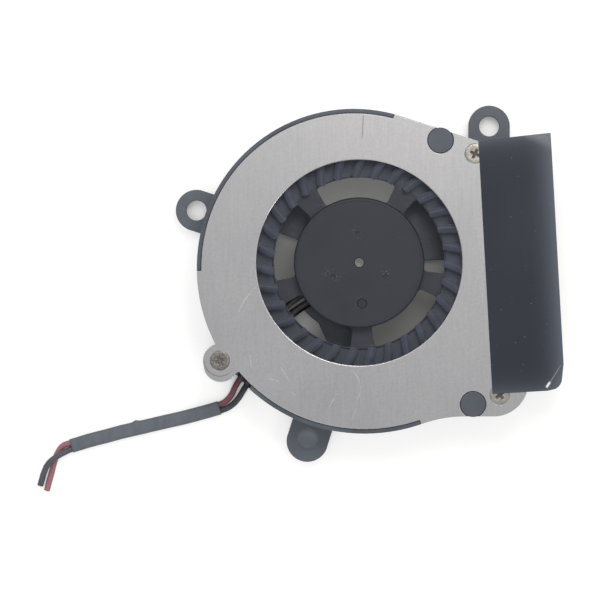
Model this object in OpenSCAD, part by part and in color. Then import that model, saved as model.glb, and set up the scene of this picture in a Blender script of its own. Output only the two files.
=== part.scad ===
// Flat centrifugal blower that cools a notebook processor: a moulded scroll housing under a sheet
// metal cover, an impeller with leaning blades on a sleeve-bearing motor, and two supply leads.
// Millimetres. +Z leaves the cover, and the origin is on the rotor axis, in the underside.

/* [Overall] */
// Height from the underside to the cover's top face
fan_h = 10; // [9:0.1:14]
// Diameter of the impeller over its blade tips
impeller_d = 45; // [37.5:0.5:56]

/* [Scroll housing] */
// Distance from the blade tips to the outside of the wall where the scroll starts
scroll_gap = 5.7; // [5:0.1:9]
// Growth of the scroll's radius in each quarter turn
scroll_step = 1.55; // [1:0.05:2.5]
// Distance that the outlet's face stands beyond the scroll's first radius
outlet_reach = 2.3; // [1:0.1:6]
// Thickness of the floor
floor_t = 1.2; // [1:0.1:1.6]
// Thickness of the scroll's wall
wall_t = 1.8; // [1.4:0.1:2.2]
// Width of the rim that stands around the cover
rim_w = 0.75; // [0.4:0.05:1]
// Height of the rim above the cover's seat
rim_h = 0.3; // [0.1:0.05:0.5]
// Radius of the rounded corner below the outlet
corner_r = 6.3; // [5:0.1:9]
// Radius of the hollow blend between the scroll and the outlet's lower wall
blend_r = 22; // [15:0.5:40]
// Diameter of the two locating posts
post_d = 4.6; // [3.5:0.1:5]
// Diameter of the bosses that take the cover screws
boss_d = 5.8; // [5:0.1:7]

/* [Ears] */
// Thickness of the ears
ear_t = 2.4; // [1.5:0.1:4]
// Width of the ears
ear_w = 7.5; // [6:0.1:10]
// Diameter of the screw holes in the ears
ear_hole_d = 3.6; // [2.5:0.1:4.5]

/* [Cover] */
// Thickness of the cover's sheet
cover_t = 0.6; // [0.4:0.05:0.8]
// Diameter of the air inlet
inlet_d = 37; // [32:0.5:42]
// Diameter of the screw heads
screw_head_d = 3.6; // [3:0.1:4]
// Diameter of the screw shanks
screw_d = 1.9; // [1.4:0.1:2.2]
// Length of the screws
screw_l = 5; // [3:0.5:7]
// Width of the film over the outlet
tape_w = 13.1; // [10:0.1:20]
// Length of the film over the outlet
tape_l = 45.6; // [40:0.1:60]
// Thickness of the film
tape_t = 0.12; // [0.05:0.01:0.3]

/* [Impeller] */
// Number of blades
blade_n = 31; // [17:2:41]
// Thickness of a blade
blade_t = 0.9; // [0.5:0.05:1.2]
// Angle by which a blade's tip trails its root, seen from the axis
blade_sweep = 9; // [4:0.5:14]
// Radius of a blade's bow
blade_bow_r = 24; // [15:1:60]
// Diameter at the blade roots, where the web begins
web_d = 30.7; // [29:0.1:33]
// Thickness of the web that carries the blades
web_t = 0.9; // [0.6:0.1:1.4]
// Diameter of the hub
hub_d = 23.5; // [22:0.1:28.2]
// Thickness of the hub's top and wall
hub_t = 0.8; // [0.6:0.1:1]
// Rounding of the hub's top edge
hub_round = 0.6; // [0.2:0.1:0.7]
// Number of spokes between the hub and the web
spoke_n = 5; // [3:1:7]
// Width of a spoke, as an angle at the axis
spoke_span = 16.5; // [10:0.5:24]

/* [Motor] */
// Diameter of the shaft
shaft_d = 1.8; // [1.4:0.1:2.2]
// Running clearance of the shaft in its bearing, on the radius
shaft_clear = 0.03; // [0.01:0.01:0.1]
// Outer diameter of the bearing tube
tube_d = 5.2; // [4.6:0.1:6.3]
// Wall of the bearing tube
tube_t = 0.6; // [0.4:0.1:0.8]
// Thickness of the rotor's steel yoke
yoke_t = 0.5; // [0.4:0.1:0.7]
// Thickness of the magnet ring
magnet_t = 1.3; // [1:0.1:1.6]
// Air gap between the magnet and the stator
air_gap = 0.35; // [0.3:0.05:0.6]
// Height of the stator's lamination stack
stack_h = 2.4; // [1.6:0.1:2.6]
// Width of a stator tooth
tooth_w = 2.2; // [1.8:0.1:2.6]
// Thickness of a coil's winding
coil_t = 0.7; // [0.4:0.1:0.8]
// Thickness of the motor board
board_t = 0.8; // [0.6:0.1:1]

/* [Leads] */
// Diameter of a lead over its insulation
lead_d = 1.1; // [0.9:0.1:1.2]

/* [Hidden] */

$fn = 96;

// Clearances: pressed or seated pieces, pieces laid in a pocket, and turning pieces
press_gap = 0.02;
fit_gap = 0.05;
run_gap = 0.4;
// Straight sides lie this far inside the round ends that they run into
ease = 0.02;
// Overrun of a cutter beyond the faces that it opens
past = 1;

// Heights of the housing
seat_z = fan_h - cover_t;
rim_z = seat_z + rim_h;

// Scroll: three quarter arcs whose centres step around a square, each arc larger by one step
scroll_from = 72;
scroll_r = impeller_d / 2 + scroll_gap;
outlet_x = scroll_r + outlet_reach;
lower_wall_rise = 0.5;
bottom_y = lower_wall_rise - scroll_r;

function dir(a) = [cos(a), sin(a)];
function turned(p, a) = [p[0] * cos(a) - p[1] * sin(a), p[0] * sin(a) + p[1] * cos(a)];
function arc_c(k) = turned([-scroll_step / 2, scroll_step / 2], scroll_from + 90 * k);
function arc_r(k) = scroll_r + k * scroll_step;
function arc_at(a) = a < scroll_from + 90 ? 0 : a < scroll_from + 180 ? 1 : 2;
// Point on the scroll's outside at direction a, moved outwards by d
function scroll_pt(a, d) = arc_c(arc_at(a)) + (arc_r(arc_at(a)) + d) * dir(a);
// Point along the straight wall above the outlet, moved inwards by d
function top_pt(t, d) = scroll_pt(scroll_from, -d) + t * dir(scroll_from - 90);
function top_reach(x, d) = (x - top_pt(0, d)[0]) / dir(scroll_from - 90)[0];

// Points along an arc, at most arc_step apart
arc_step = 3;
function turns(a0, a1) = let (n = ceil(abs(a1 - a0) / arc_step)) [for (i = [0:n]) a0 + (a1 - a0) * i / n];
function arc_run(c, r, a0, a1) = [for (a = turns(a0, a1)) c + r * dir(a)];
function scroll_run(d, a0, a1) = [for (a = turns(a0, a1)) scroll_pt(a, d)];

// Blend between the last arc and the outlet's lower wall, tangent to both
blend_y = bottom_y - blend_r;
blend_x = arc_c(2)[0] + sqrt(pow(arc_r(2) + blend_r, 2) - pow(blend_y - arc_c(2)[1], 2));
blend_c = [blend_x, blend_y];
blend_from = atan2(blend_y - arc_c(2)[1], blend_x - arc_c(2)[0]) + 360;

// Air path: the last arc runs on to this direction, and the lower wall leaves it as a tangent
air_until = 298;

// Rims stand between these directions, and the cover reaches the outline elsewhere
rims = [[75, 181], [220, 289]];

// Posts, screws and ears
post_pts = [top_pt(7.9, 1.95), [outlet_x - 10, bottom_y + 2.2]];
screw_pts = [scroll_pt(213.1, 0.8), top_pt(14.5, 2.35), [outlet_x - 5.2, bottom_y + 3.9]];
screw_turns = [20, 65, 40];
ear_gap = 0.05;
ear_pts = [scroll_pt(160.7, ear_hole_d / 2 + ear_gap), top_pt(15.5, -3.25), scroll_pt(252.5, 3)];
ear_turns = [-18, -90, 72.5];
ear_reach = 5;
ear_dish_t = 0.5;
ear_dish_r = 1.95;
tongue_margin = 0.3;
tongue_r = post_d / 2 + tongue_margin;
cover_overhang = 0.15;
lobe_r = boss_d / 2 + cover_overhang;
lobe_tail = 0.8;
lobe_turn = -80;
lobe_end = scroll_pt(rims[1][0], -rim_w);

// Motor heights, from the floor up
web_in_r = web_d / 2;
blade_out_r = impeller_d / 2;
cover_clear = 0.8;
blade_z = [2.2, seat_z - cover_clear];
hub_z = [2.6, fan_h - cover_clear];
hub_r = hub_d / 2;
// The web lies at this share of the blades' height
web_level = 0.62;
web_z = blade_z[0] + web_level * (blade_z[1] - blade_z[0]) - web_t / 2;
spoke_rise = 0.3;
spoke_t = web_t + spoke_rise;
tube_r = tube_d / 2;
tube_in_r = tube_r - tube_t;
socket_z = 0.5;
socket_h = 2.3;
socket_wall = 1.3;
socket_r = tube_r + socket_wall;
board_z = floor_t + fit_gap;
board_top = board_z + board_t;
board_inset = 1.55;
board_r = hub_r - board_inset;
yoke_r = hub_r - hub_t - press_gap;
yoke_top = hub_z[1] - hub_t - press_gap;
magnet_r = yoke_r - yoke_t - press_gap;
magnet_z = [3, yoke_top - yoke_t - run_gap];
stator_r = magnet_r - magnet_t - air_gap;
stack_z = (board_top + yoke_top - yoke_t - stack_h) / 2;
stack_top = stack_z + stack_h;
core_wall = 1.7;
core_r = tube_r + core_wall;
pole_t = 1.1;
pole_span = 74;
pole_n = 4;
bobbin_t = 0.3;
coil_half_w = tooth_w / 2 + fit_gap + coil_t;
coil_in = core_r + fit_gap;
coil_out = sqrt(pow(stator_r - pole_t, 2) - pow(coil_half_w, 2)) - fit_gap;
shaft_r = shaft_d / 2;
boss_drop = 0.6;
boss_in_z = yoke_top - yoke_t - boss_drop;
boss_in_r = 2.1;
tube_top = boss_in_z - run_gap;
pad_t = 0.3;
shaft_z = [socket_z + pad_t + fit_gap, hub_z[1] - fit_gap];
neck_r = shaft_r - 0.2;
clip_rise = 0.3;
clip_z = shaft_z[0] + clip_rise;
clip_t = 0.25;
clip_clear = 0.2;
oil_t = 0.2;
bearing_z = [clip_z + clip_t + clip_clear, tube_top - oil_t - 2 * fit_gap];

// Floor windows: inner radius, then the inner and outer directions of one side and of the other
window_r = 16.5;
plate_margin = 1;
motor_plate_r = board_r + plate_margin;
strut_foot = 2.9;
strut_foot_r = board_r + strut_foot;
windows = [[motor_plate_r, 48, 65, 136, 136], [motor_plate_r, 159.5, 159.5, 206, 206],
           [strut_foot_r, 220.5, 220.5, 236, 252], [motor_plate_r, 264, 270, 362, 362]];

// Wire guide: a groove in the floor from the board to the notch in the wall
lead_r = lead_d / 2;
lead_apart = 0.5;
lead_pitch = lead_d + lead_apart;
guide_z = 0.4;
guide_w = lead_pitch + lead_d + 8 * fit_gap;
guide_turn = 213.5;
lead_z = guide_z + fit_gap + lead_r;
exit_turn = 223.9;
exit_pt = scroll_pt(exit_turn, 0);
joint_inset = 0.8;
joint_r = board_r - joint_inset;
guide_straight = 5;
guide_bend_r = board_r + guide_straight;
guide_pts = [joint_r * dir(guide_turn), guide_bend_r * dir(guide_turn), exit_pt];
guide_run = atan2(exit_pt[1] - guide_pts[1][1], exit_pt[0] - guide_pts[1][0]);
lead_start = 0.12;
lead_in_r = board_r + lead_start;
// Places of a lead before the guide's bend, and along the stretch after it
before_bend = [2.8, 1];
after_bend = [0.1, 0.4, 0.7];
exit_l = 1.4;

// Routes of the leads as they lie on the table: from the notch to the sleeve, then their cut ends
red_out = [[-23.1, -23.9, 0.85], [-24.15, -25.05, 0.78]];
black_out = [[-21.8, -24.5, 0.85], [-23.2, -25.9, 0.78]];
sleeve_line = [[-25.2, -26.2, 0.76], [-28.0, -27.0, 0.76], [-31.0, -27.8, 0.76], [-34.0, -28.5, 0.76],
               [-37.0, -29.2, 0.76], [-40.0, -29.9, 0.76], [-43.0, -30.6, 0.76], [-46.0, -31.4, 0.76],
               [-49.0, -32.2, 0.76], [-52.0, -33.1, 0.76]];
red_end = [[-53.5, -33.1, 0.58], [-54.5, -34.5, 0.57], [-55.1, -36.2, 0.57], [-55.6, -38.2, 0.57],
           [-56.1, -40.0, 0.57], [-56.4, -41.2, 0.57]];
black_end = [[-53.3, -34.3, 1.35], [-54.7, -35.1, 1.8], [-56.1, -36.3, 1.7], [-56.9, -37.9, 1.15],
             [-57.3, -39.2, 0.7], [-57.6, -40.3, 0.57]];
sleeve_half = [1.24, 0.72];
sleeve_wall = 0.12;

// Sector of a plane from direction a0 to a1, out to r
module wedge(r, a0, a1) {
  mid = (a0 + a1) / 2;
  polygon([[0, 0], 2 * r * dir(a0), 2 * r * dir(mid), 2 * r * dir(a1)]);
}

module ring(r_out, r_in) {
  difference() {
    circle(r_out);
    circle(r_in);
  }
}

// Bar with round ends between two points
module link(p, q, w) {
  translate(p) circle(w / 2);
  translate(q) circle(w / 2);
  side = w / 2 - ease;
  translate(p) rotate(atan2(q[1] - p[1], q[0] - p[0])) translate([0, -side]) square([norm(q - p), 2 * side]);
}

// Band along the scroll's outside between two directions
module scroll_band(d_out, d_in, a0, a1) {
  polygon(concat(scroll_run(d_out, a0, a1), scroll_run(d_in, a1, a0)));
}

// Outline of the housing, seen from above
module outline() {
  scroll_end = blend_from - arc_step / 2;
  corner_c = [outlet_x - corner_r, bottom_y + corner_r];
  polygon(concat(scroll_run(0, scroll_from, scroll_end), arc_run(blend_c, blend_r, blend_from - 180, 90),
                 arc_run(corner_c, corner_r, -90, 0), [top_pt(top_reach(outlet_x, 0), 0)]));
}

// Air path inside the wall, open at the outlet
module air_path() {
  low = scroll_pt(air_until, -wall_t);
  run = dir(air_until + 90);
  end_x = outlet_x + past;
  difference() {
    polygon(concat(scroll_run(-wall_t, scroll_from, air_until), [low + run * (end_x - low[0]) / run[0],
                   top_pt(top_reach(end_x, wall_t), wall_t)]));
    link(post_pts[0], screw_pts[1], 2 * tongue_r);
  }
}

// Lobe around the first screw, with the straight edge that runs to the lead notch
module lobe(r) {
  p = screw_pts[0];
  q = p + lobe_tail * dir(lobe_turn);
  reach = lobe_end - q;
  side = atan2(reach[1], reach[0]) - acos(r / norm(reach));
  inwards = -2 * wall_t * dir(exit_turn);
  link(p, q, 2 * r);
  polygon([q, q + (r - ease) * dir(side), lobe_end, lobe_end + inwards, p + inwards]);
}

module ear_shape(k) {
  side = ear_w / 2 - ease;
  translate(ear_pts[k]) {
    circle(d = ear_w);
    rotate(ear_turns[k]) translate([0, -side]) square([ear_reach, 2 * side]);
  }
}

// Floor window between slanted sides, drawn a little past its two arcs
module window(w) {
  side = [for (k = [1, 3]) [w[0] * dir(w[k]), window_r * dir(w[k + 1])]];
  spill = 0.1;
  inner = [for (p = side) p[0] - spill * (p[1] - p[0])];
  outer = [for (p = side) p[1] + spill * (p[1] - p[0])];
  span = w[4] - w[2];
  in_span = w[3] - w[1];
  intersection() {
    ring(window_r, w[0]);
    polygon(concat([inner[0], outer[0]], [for (t = [0.2:0.2:0.8]) 1.5 * window_r * dir(w[2] + t * span)],
                   [outer[1], inner[1]], [for (t = [0.8:-0.2:0.2]) w[0] / 2 * dir(w[1] + t * in_span)]));
  }
}

// Everything above the cover's seat except the rims
module above_seat() {
  difference() {
    square(4 * scroll_r, center = true);
    for (a = rims) scroll_band(past, -rim_w, a[0], a[1]);
  }
}

module base_frame() {
  color("#3b3d44") {
    difference() {
      union() {
        difference() {
          linear_extrude(rim_z) {
            outline();
            lobe(boss_d / 2);
          }
          translate([0, 0, seat_z]) linear_extrude(rim_h + past) above_seat();
        }
        linear_extrude(ear_t) for (k = [0:2]) ear_shape(k);
        for (p = post_pts) translate(p) cylinder(d = post_d, h = fan_h);
      }
      translate([0, 0, floor_t]) linear_extrude(fan_h) air_path();
      translate([0, 0, -past]) linear_extrude(floor_t + 2 * past) for (w = windows) window(w);
      for (k = [0:1]) translate(concat(ear_pts[k], -past)) cylinder(d = ear_hole_d, h = ear_t + 2 * past);
      translate(concat(ear_pts[2], ear_t - ear_dish_t)) rotate_extrude() ear_dish();
      for (p = screw_pts) translate(concat(p, seat_z - screw_l))
        cylinder(d = screw_d + 2 * press_gap, h = screw_l + past);
      translate([0, 0, socket_z]) cylinder(r = tube_r + press_gap, h = fan_h);
      translate([0, 0, guide_z]) linear_extrude(fan_h) lead_notch();
      translate([0, 0, guide_z]) linear_extrude(floor_t) lead_groove();
    }
    translate([0, 0, floor_t]) linear_extrude(socket_h - floor_t) ring(socket_r, tube_r + press_gap);
  }
}

// Half section of the shallow dish in the third ear
module ear_dish() {
  ball_r = (pow(ear_dish_r, 2) + pow(ear_dish_t, 2)) / (2 * ear_dish_t);
  flat_t = 0.03;
  intersection() {
    translate([0, ball_r - flat_t]) circle(ball_r);
    square([ball_r, ear_dish_t + press_gap]);
  }
}

// Groove in the floor that holds the leads below the impeller
module lead_groove() {
  link(guide_pts[0], guide_pts[1], guide_w);
  link(guide_pts[1], guide_pts[2], guide_w);
}

// Notch in the wall where the leads come out
module lead_notch() {
  translate(exit_pt) rotate(guide_run) translate([-wall_t - past, -guide_w / 2])
    square([wall_t + 3 * past, guide_w]);
}

module cover_plate() {
  edge = rim_w + fit_gap;
  color("#c4c4c0") difference() {
    translate([0, 0, seat_z]) linear_extrude(cover_t) difference() {
      union() {
        outline();
        lobe(lobe_r);
      }
      for (a = rims) scroll_band(past, -edge, a[0], a[1]);
      circle(d = inlet_d);
      for (p = post_pts) translate(p) circle(post_d / 2 + fit_gap);
    }
    for (p = screw_pts) translate(concat(p, seat_z)) screw_sink(fit_gap);
  }
}

// Countersunk head, grown by gap to cut its seat
module screw_sink(gap) {
  r = screw_head_d / 2 + gap;
  cylinder(r1 = r - cover_t, r2 = r, h = cover_t);
}

module cover_screws() {
  slot_w = 0.45;
  slot_l = 2.2;
  slot_h = 0.4;
  color("#8d8f92") for (k = [0:2]) translate(concat(screw_pts[k], seat_z)) difference() {
    union() {
      screw_sink(0);
      translate([0, 0, fit_gap - screw_l]) cylinder(d = screw_d, h = screw_l);
    }
    for (a = [0, 90]) rotate(screw_turns[k] + a)
      translate([-slot_l / 2, -slot_w / 2, cover_t - slot_h]) cube([slot_l, slot_w, past]);
  }
}

module outlet_tape() {
  tilt = 3.2;
  fold = 4.5;
  slant = 0.8;
  middle = [outlet_x - 1.25, -0.5, fan_h];
  half_w = tape_w / 2;
  half_l = tape_l / 2;
  color("#24252a") translate(middle) rotate(tilt) linear_extrude(tape_t)
    polygon([[-half_w, -half_l], [half_w - fold / 2, -half_l], [half_w, fold - half_l],
             [half_w, half_l + slant], [-half_w, half_l]]);
}

// Window between two spokes with round corners
module spoke_window(r0, r1, a0, a1, rc) {
  in_a = asin(rc / (r0 + rc));
  out_a = asin(rc / (r1 - rc));
  intersection() {
    ring(r1 - rc, r0 + rc);
    wedge(r1, a0, a1);
  }
  intersection() {
    ring(r1, r0);
    polygon([r0 / 2 * dir(a0 + in_a), r0 * dir(a0 + in_a), r1 * dir(a0 + out_a), 2 * r1 * dir(a0 + out_a),
             2 * r1 * dir(a1 - out_a), r1 * dir(a1 - out_a), r0 * dir(a1 - in_a), r0 / 2 * dir(a1 - in_a)]);
  }
  for (a = [a0 + in_a, a1 - in_a]) translate((r0 + rc) * dir(a)) circle(rc);
  for (a = [a0 + out_a, a1 - out_a]) translate((r1 - rc) * dir(a)) circle(rc);
}

// Bowed blade whose root is on the X axis and whose tip trails it
module blade() {
  root = [web_in_r, 0];
  tip = blade_out_r * dir(-blade_sweep);
  chord = norm(tip - root);
  along = (tip - root) / chord;
  rise = sqrt(pow(blade_bow_r, 2) - pow(chord / 2, 2));
  centre = (root + tip) / 2 - rise * [-along[1], along[0]];
  from = atan2(tip[1] - centre[1], tip[0] - centre[0]);
  translate(concat(centre, blade_z[0])) rotate(from)
    rotate_extrude(angle = 2 * asin(chord / 2 / blade_bow_r))
      translate([blade_bow_r - blade_t / 2, 0]) square([blade_t, blade_z[1] - blade_z[0]]);
}

module hub_profile() {
  top = hub_z[1];
  polygon([[hub_r - hub_t, hub_z[0]], [hub_r, hub_z[0]], [hub_r, top - hub_round], [hub_r - hub_round, top],
           [shaft_r + press_gap, top], [shaft_r + press_gap, boss_in_z], [boss_in_r, boss_in_z],
           [boss_in_r, top - hub_t], [hub_r - hub_t, top - hub_t]]);
  translate([hub_r - hub_round, top - hub_round]) intersection() {
    circle(hub_round);
    square(hub_round + past);
  }
}

module impeller() {
  first_spoke = 56.5;
  first_blade = 0;
  pitch = 360 / spoke_n;
  gates = [92, 208, 333];
  gate_r = 5.25;
  gate_mark_r = 0.5;
  gate_mark_t = 0.1;
  dimple = 7.4 * dir(274);
  dimple_r = 1;
  dimple_t = 0.3;
  round_r = 0.6;
  web_lap = 0.3;
  tip_show = 0.4;
  color("#3f4248") {
    difference() {
      rotate_extrude() hub_profile();
      for (a = gates) translate(concat(gate_r * dir(a), hub_z[1] - gate_mark_t))
        cylinder(r = gate_mark_r, h = past);
      translate(concat(dimple, hub_z[1] - dimple_t)) cylinder(r = dimple_r, h = past);
    }
    translate([0, 0, web_z]) linear_extrude(spoke_t) difference() {
      ring(web_in_r + 2 * web_lap, hub_r - hub_t / 2);
      for (k = [1:spoke_n]) {
        a = first_spoke + spoke_span / 2 + pitch * (k - 1);
        spoke_window(hub_r - ease, web_in_r, a, a + pitch - spoke_span, round_r);
      }
    }
    translate([0, 0, web_z]) linear_extrude(web_t) ring(blade_out_r - tip_show, web_in_r + web_lap);
    for (k = [1:blade_n]) rotate(first_blade + 360 * k / blade_n) blade();
  }
}

module rotor_shaft() {
  foot = [0.25, 0.15];
  chamfer = 0.1;
  z = shaft_z;
  neck = [clip_z - fit_gap, clip_z + clip_t + fit_gap];
  color("#c9cacc") rotate_extrude()
    polygon([[0, z[0]], [shaft_r - foot[0], z[0]], [shaft_r, z[0] + foot[1]], [shaft_r, neck[0]],
             [neck_r, neck[0]], [neck_r, neck[1]], [shaft_r, neck[1]], [shaft_r, z[1] - chamfer],
             [shaft_r - chamfer, z[1]], [0, z[1]]]);
}

module rotor_yoke() {
  inner = yoke_r - yoke_t;
  color("#a9abae") rotate_extrude()
    polygon([[boss_in_r + press_gap, yoke_top - yoke_t], [inner, yoke_top - yoke_t], [inner, magnet_z[0]],
             [yoke_r, magnet_z[0]], [yoke_r, yoke_top], [boss_in_r + press_gap, yoke_top]]);
}

module rotor_magnet() {
  color("#55565a") translate([0, 0, magnet_z[0]]) linear_extrude(magnet_z[1] - magnet_z[0])
    ring(magnet_r, magnet_r - magnet_t);
}

// One stator pole: a tooth that ends in a curved shoe
module pole(w, shoe_in, shoe_out, span) {
  lap = 0.3;
  translate([core_r - lap, -w / 2]) square([shoe_in - core_r + 2 * lap, w]);
  intersection() {
    ring(shoe_out, shoe_in);
    wedge(shoe_out, -span / 2, span / 2);
  }
}

module stator_core() {
  color("#9a9ca0") translate([0, 0, stack_z]) linear_extrude(stack_h) {
    ring(core_r, tube_r + press_gap);
    for (k = [1:pole_n]) rotate(360 * k / pole_n) pole(tooth_w, stator_r - pole_t, stator_r, pole_span);
  }
}

// Insulating half that lies on one face of the core and fences the coils in
module bobbin(z_face, side) {
  fence_h = bobbin_t + coil_t;
  fence_t = 0.5;
  fence_r = stator_r - pole_t + 2 * fit_gap;
  fence_inset = 6;
  fence_span = pole_span - fence_inset;
  color("#d8d5c8") translate([0, 0, z_face]) mirror([0, 0, side < 0 ? 1 : 0]) difference() {
    union() {
      linear_extrude(bobbin_t) {
        ring(core_r, tube_r + fit_gap);
        for (k = [1:pole_n]) rotate(360 * k / pole_n)
          pole(tooth_w, stator_r - pole_t, stator_r - fit_gap, pole_span);
      }
      linear_extrude(fence_h) {
        ring(core_r, core_r - fence_t);
        for (k = [1:pole_n]) rotate(360 * k / pole_n) intersection() {
          ring(fence_r + fence_t, fence_r);
          wedge(stator_r, -fence_span / 2, fence_span / 2);
        }
      }
    }
    if (side < 0) for (p = pin_pts) translate(concat(p, -past)) cylinder(r = pin_r + press_gap, h = 3 * past);
  }
}

module bobbin_upper() {
  bobbin(stack_top, 1);
}

module bobbin_lower() {
  bobbin(stack_z, -1);
}

// Coil number k around its tooth
module coil(k) {
  inner = [coil_half_w - coil_t, stack_h / 2 + bobbin_t + fit_gap];
  outer = [coil_half_w, inner[1] + coil_t - fit_gap];
  length = coil_out - coil_in;
  round_r = 0.3;
  color("#b4693a") translate([0, 0, stack_z + stack_h / 2]) rotate(360 * k / pole_n)
    translate([coil_in, 0, 0]) rotate([90, 0, 90]) linear_extrude(length) difference() {
      union() {
        square([2 * outer[0], 2 * (outer[1] - round_r)], center = true);
        square([2 * (outer[0] - round_r), 2 * outer[1]], center = true);
        for (x = [-1, 1], y = [-1, 1]) translate([x * (outer[0] - round_r), y * (outer[1] - round_r)])
          circle(round_r);
      }
      square(2 * inner, center = true);
    }
}

// Pins that bring the coil ends from the lower bobbin to the board
pin_r = 0.25;
pin_turn = 22;
pin_ring_r = stator_r - pole_t / 2 + 2 * fit_gap;
pin_pts = [for (k = [0:pole_n - 1]) pin_ring_r * dir(360 * k / pole_n + pin_turn)];

module coil_pins() {
  color("#c8b26a") for (p = pin_pts) translate(concat(p, board_z))
    cylinder(r = pin_r, h = stack_z - board_z - press_gap);
}

joint_pts = [for (s = [1, -1]) joint_r * dir(guide_turn) + s * lead_pitch / 2 * dir(guide_turn - 90)];
joint_hole_r = 0.3;
// Radius on which the chip and the capacitor sit, outside the socket
chip_away = 2.3;
chip_r = socket_r + chip_away;

module motor_board() {
  color("#2f5d3f") translate([0, 0, board_z]) linear_extrude(board_t) difference() {
    ring(board_r, socket_r + fit_gap);
    for (p = joint_pts) translate(p) circle(joint_hole_r);
    for (p = pin_pts) translate(p) circle(pin_r + press_gap);
  }
}

module driver_chip() {
  size = [2.8, 1.6, 0.9];
  leg = [0.4, 0.5, 0.25];
  leg_pitch = 0.95;
  lift = 0.1;
  color("#26272a") rotate(45) translate([chip_r, 0, board_top]) {
    translate([-size[1] / 2, -size[0] / 2, lift]) cube([size[1], size[0], size[2] - lift]);
    for (x = [-1, 1], y = [-1, 0, 1]) translate([x * (size[1] + leg[1]) / 2, y * leg_pitch, leg[2] / 2])
      cube([leg[1] + lift, leg[0], leg[2]], center = true);
  }
}

module board_capacitor() {
  size = [1.2, 2, 0.8];
  color("#b9a98d") rotate(135) translate([chip_r, 0, board_top + size[2] / 2]) cube(size, center = true);
}

// Bare lead ends that run under the board and rise through it into a bead of solder
module solder_joints() {
  wire_r = joint_hole_r - 2 * fit_gap;
  bead_r = 0.65;
  bead_h = 0.35;
  color("#b9bcbf") for (p = joint_pts) {
    translate(concat(p, lead_z)) {
      rotate(guide_turn) rotate([0, 90, 0]) cylinder(r = wire_r - ease, h = lead_in_r - joint_r);
      translate([0, 0, -wire_r]) cylinder(r = wire_r, h = board_top - lead_z + wire_r);
    }
    translate(concat(p, board_top)) cylinder(r1 = bead_r, r2 = wire_r, h = bead_h);
  }
}

module bearing_tube() {
  color("#b99a4e") translate([0, 0, socket_z]) linear_extrude(tube_top - socket_z) ring(tube_r, tube_in_r);
}

module sleeve_bearing() {
  color("#9c7a4a") translate([0, 0, bearing_z[0]]) linear_extrude(bearing_z[1] - bearing_z[0])
    ring(tube_in_r - press_gap, shaft_r + shaft_clear);
}

module thrust_pad() {
  color("#e4e1d6") translate([0, 0, socket_z]) cylinder(r = tube_in_r - press_gap, h = pad_t);
}

module shaft_clip() {
  color("#dcdad2") translate([0, 0, clip_z]) linear_extrude(clip_t)
    ring(tube_in_r - press_gap, neck_r + shaft_clear + press_gap);
}

module oil_ring() {
  color("#e9e6dc") translate([0, 0, bearing_z[1] + fit_gap]) linear_extrude(oil_t)
    ring(tube_in_r - press_gap, shaft_r + 2 * shaft_clear);
}

// Directions along a route: each point takes the mean of the runs that meet there
function unit(v) = v / norm(v);
function run_at(path, i) = unit(path[min(i + 1, len(path) - 1)] - path[max(i - 1, 0)]);
function side_at(path, i) = unit(cross([0, 0, 1], run_at(path, i)));
function ring_pts(path, i, section) = [for (s = section)
  path[i] + s[0] * side_at(path, i) + s[1] * cross(run_at(path, i), side_at(path, i))];
// Route moved sideways by s
function beside(path, s) = [for (i = [0:len(path) - 1]) path[i] + s * side_at(path, i)];
// Quads between rings i and i + 1, where each ring has n points from the index base on
function skin(rings, n, base) = [for (i = [0:rings - 2], j = [0:n - 1])
  [base + i * n + j, base + i * n + (j + 1) % n, base + (i + 1) * n + (j + 1) % n, base + (i + 1) * n + j]];
function flipped(faces) = [for (f = faces) [for (i = [len(f) - 1:-1:0]) f[i]]];

lead_sides = 8;
lead_section = [for (j = [0:lead_sides - 1]) lead_r * dir(360 * j / lead_sides)];

// Round lead along a route
module lead(path) {
  n = lead_sides;
  rings = len(path);
  points = [for (i = [0:rings - 1]) each ring_pts(path, i, lead_section)];
  ends = [[for (j = [n - 1:-1:0]) j], [for (j = [0:n - 1]) (rings - 1) * n + j]];
  polyhedron(points, concat(flipped(skin(rings, n, 0)), flipped(ends)));
}

// Route of a lead in the wire guide, moved sideways by s, from the board over the guide's bend to the wall
function flat(p) = concat(p, lead_z);
function across(a) = [-sin(a), cos(a), 0];
function exit_at(s, l) = flat(exit_pt + l * dir(guide_run)) + s * across(guide_run);
function inner_route(s) = concat(
  [flat(lead_in_r * dir(guide_turn)) + s * across(guide_turn)],
  [for (d = before_bend) flat((guide_bend_r - d) * dir(guide_turn)) + s * across(guide_turn)],
  [for (t = after_bend) flat(guide_pts[1] * (1 - t) + exit_pt * t) + s * across(guide_run)],
  [exit_at(s, 0)]);
function outer_route(s, out, end) = concat(
  [exit_at(s, 0), exit_at(s, exit_l)], out, beside(sleeve_line, sign(s) * (lead_r + press_gap / 2)), end);

module red_lead_inner() {
  color("#8d3138") lead(inner_route(-lead_pitch / 2));
}

module black_lead_inner() {
  color("#2a2b2e") lead(inner_route(lead_pitch / 2));
}

module red_lead() {
  color("#8d3138") lead(outer_route(-lead_pitch / 2, red_out, red_end));
}

module black_lead() {
  color("#2a2b2e") lead(outer_route(lead_pitch / 2, black_out, black_end));
}

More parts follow.
